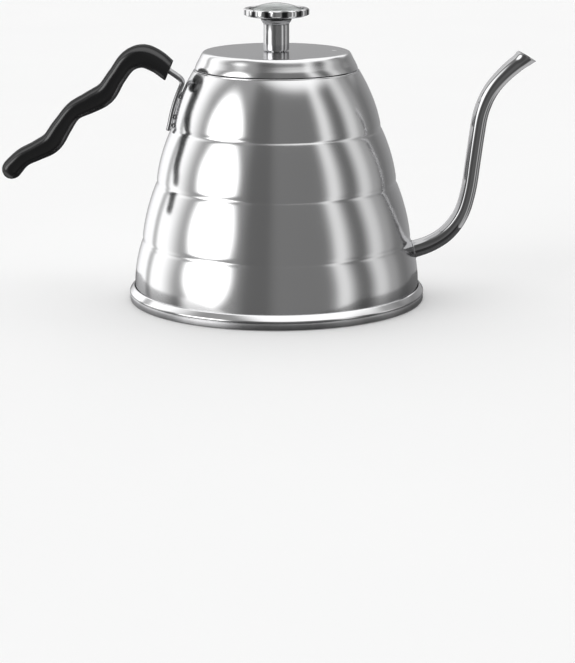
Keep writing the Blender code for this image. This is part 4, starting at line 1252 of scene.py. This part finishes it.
# brightness of the room by direction round the kettle, in degrees from the -Y side towards +X
BANDS_LEFT = ((-180, 0.44), (-168, 0.44), (-161, 0.75), (-152, 1.3), (-133, 1.4), (-130.5, 0.5),
              (-125.5, 0.5), (-122, 1.4), (-106, 1.3), (-98, 0.85), (-91, 0.42), (-84, 0.33),
              (-79, 0.36), (-66, 0.36), (-47, 0.36), (-40, 0.34), (-34, 0.26), (-28, 0.17),
              (-24, 0.135), (-8, 0.137), (-3, 0.18), (0, 0.20))
BANDS_RIGHT = ((0, 0.20), (3, 0.206), (43, 0.195), (48, 0.36), (53, 0.86), (59, 0.92), (64, 0.52),
               (69, 0.22), (74, 0.145), (80, 0.15), (85, 0.42), (91, 0.78), (98, 0.72), (105, 0.42),
               (113, 0.36), (121, 0.22), (130, 0.19), (141, 0.28), (157, 0.40), (171, 0.42),
               (180, 0.44))


def make_light():
    world = bpy.data.worlds.new("studio")
    bpy.context.scene.world = world
    world.use_nodes = True
    g = Graph(world.node_tree)
    for n in list(g.n):
        g.n.remove(n)
    out = g.n.new("ShaderNodeOutputWorld")
    back = g.n.new("ShaderNodeBackground")
    g.l.new(back.outputs[0], out.inputs[0])
    direction = g.n.new("ShaderNodeTexCoord").outputs["Generated"]
    x, y, z = g.split(direction)
    az = g.math('MULTIPLY', g.math('ARCTAN2', x, g.math('MULTIPLY', y, -1.0)), 180.0 / math.pi)
    el = g.math('MULTIPLY', g.math('ARCSINE', z), 180.0 / math.pi)

    def blend(f, one, two):
        return g.math('ADD', g.math('MULTIPLY', one, g.math('SUBTRACT', 1.0, f)),
                      g.math('MULTIPLY', two, f))

    # the grey gap beside the softbox bends round its top
    bend = g.math('MULTIPLY', g.step(el, 26.0, 52.0), g.math('MULTIPLY', -14.0, g.math('MULTIPLY',
                  g.step(az, -125.0, -100.0), g.math('SUBTRACT', 1.0, g.step(az, -70.0, -45.0)))))
    bent = g.math('ADD', az, bend)
    left = g.ramp(g.span(bent, -180.0, 0.0, 0.0, 1.0), [((a + 180.0) / 180.0, v / 2.0) for a, v in BANDS_LEFT])
    right = g.ramp(g.span(az, 0.0, 180.0, 0.0, 1.0), [(a / 180.0, v / 2.0) for a, v in BANDS_RIGHT])
    side = g.math('GREATER_THAN', az, 0.0)
    bands = g.math('MULTIPLY', g.mix(side, left, right), 2.0)
    # large round softbox on the left
    u = g.math('DIVIDE', g.math('ADD', az, 60.0), 22.0)
    v = g.math('DIVIDE', g.math('SUBTRACT', el, 13.0), 26.0)
    away = g.math('SQRT', g.math('ADD', g.math('MULTIPLY', u, u), g.math('MULTIPLY', v, v)))
    soft = g.math('SUBTRACT', 1.0, g.step(away, 0.70, 1.24))
    level = g.math('ADD', bands, g.math('MULTIPLY', soft, 2.2))
    # overhead panel: its edge comes lower towards the right
    lean = g.math('MULTIPLY', g.math('MAXIMUM', g.math('MINIMUM', az, 110.0), -60.0), 0.13)
    high = g.step(g.math('ADD', el, lean), 47.5, 56.5)
    level = blend(high, level, 1.3)
    # bright wall behind the kettle
    behind = g.math('MULTIPLY', g.step(g.math('ABSOLUTE', az), 118.0, 150.0), g.step(el, 14.0, 26.0))
    level = blend(behind, level, 1.3)
    # below, it is dim in front and bright at the sides and behind
    low = g.math('SUBTRACT', 1.0, g.step(el, -40.0, -24.0))
    under = g.math('ADD', 0.13, g.math('MULTIPLY', 0.77, g.step(g.math('ABSOLUTE', az), 40.0, 74.0)))
    level = blend(low, level, under)
    g.l.new(level, back.inputs["Strength"])
    back.inputs["Color"].default_value = (1.0, 1.0, 1.0, 1.0)
    world.cycles.sampling_method = 'MANUAL'
    world.cycles.sample_map_resolution = 1024


def make_camera():
    data = bpy.data.cameras.new("camera")
    data.sensor_fit = 'AUTO'
    data.sensor_width = 36.0
    data.lens = 2200.0 * 36.0 / 663.0
    data.clip_start = 0.01
    data.clip_end = 50.0
    cam = bpy.data.objects.new("camera", data)
    cam.location = (0.00541, -1.0705, 0.25095)
    cam.rotation_euler = (math.radians(90.0 - 14.12), 0.0, 0.0)
    bpy.context.scene.collection.objects.link(cam)
    bpy.context.scene.camera = cam


make_stage()
make_card()
make_light()
make_camera()
view = bpy.context.scene.view_settings
view.view_transform = 'Standard'
view.look = 'None'
view.exposure = 0.0
view.gamma = 1.0

bpy.context.view_layer.update()
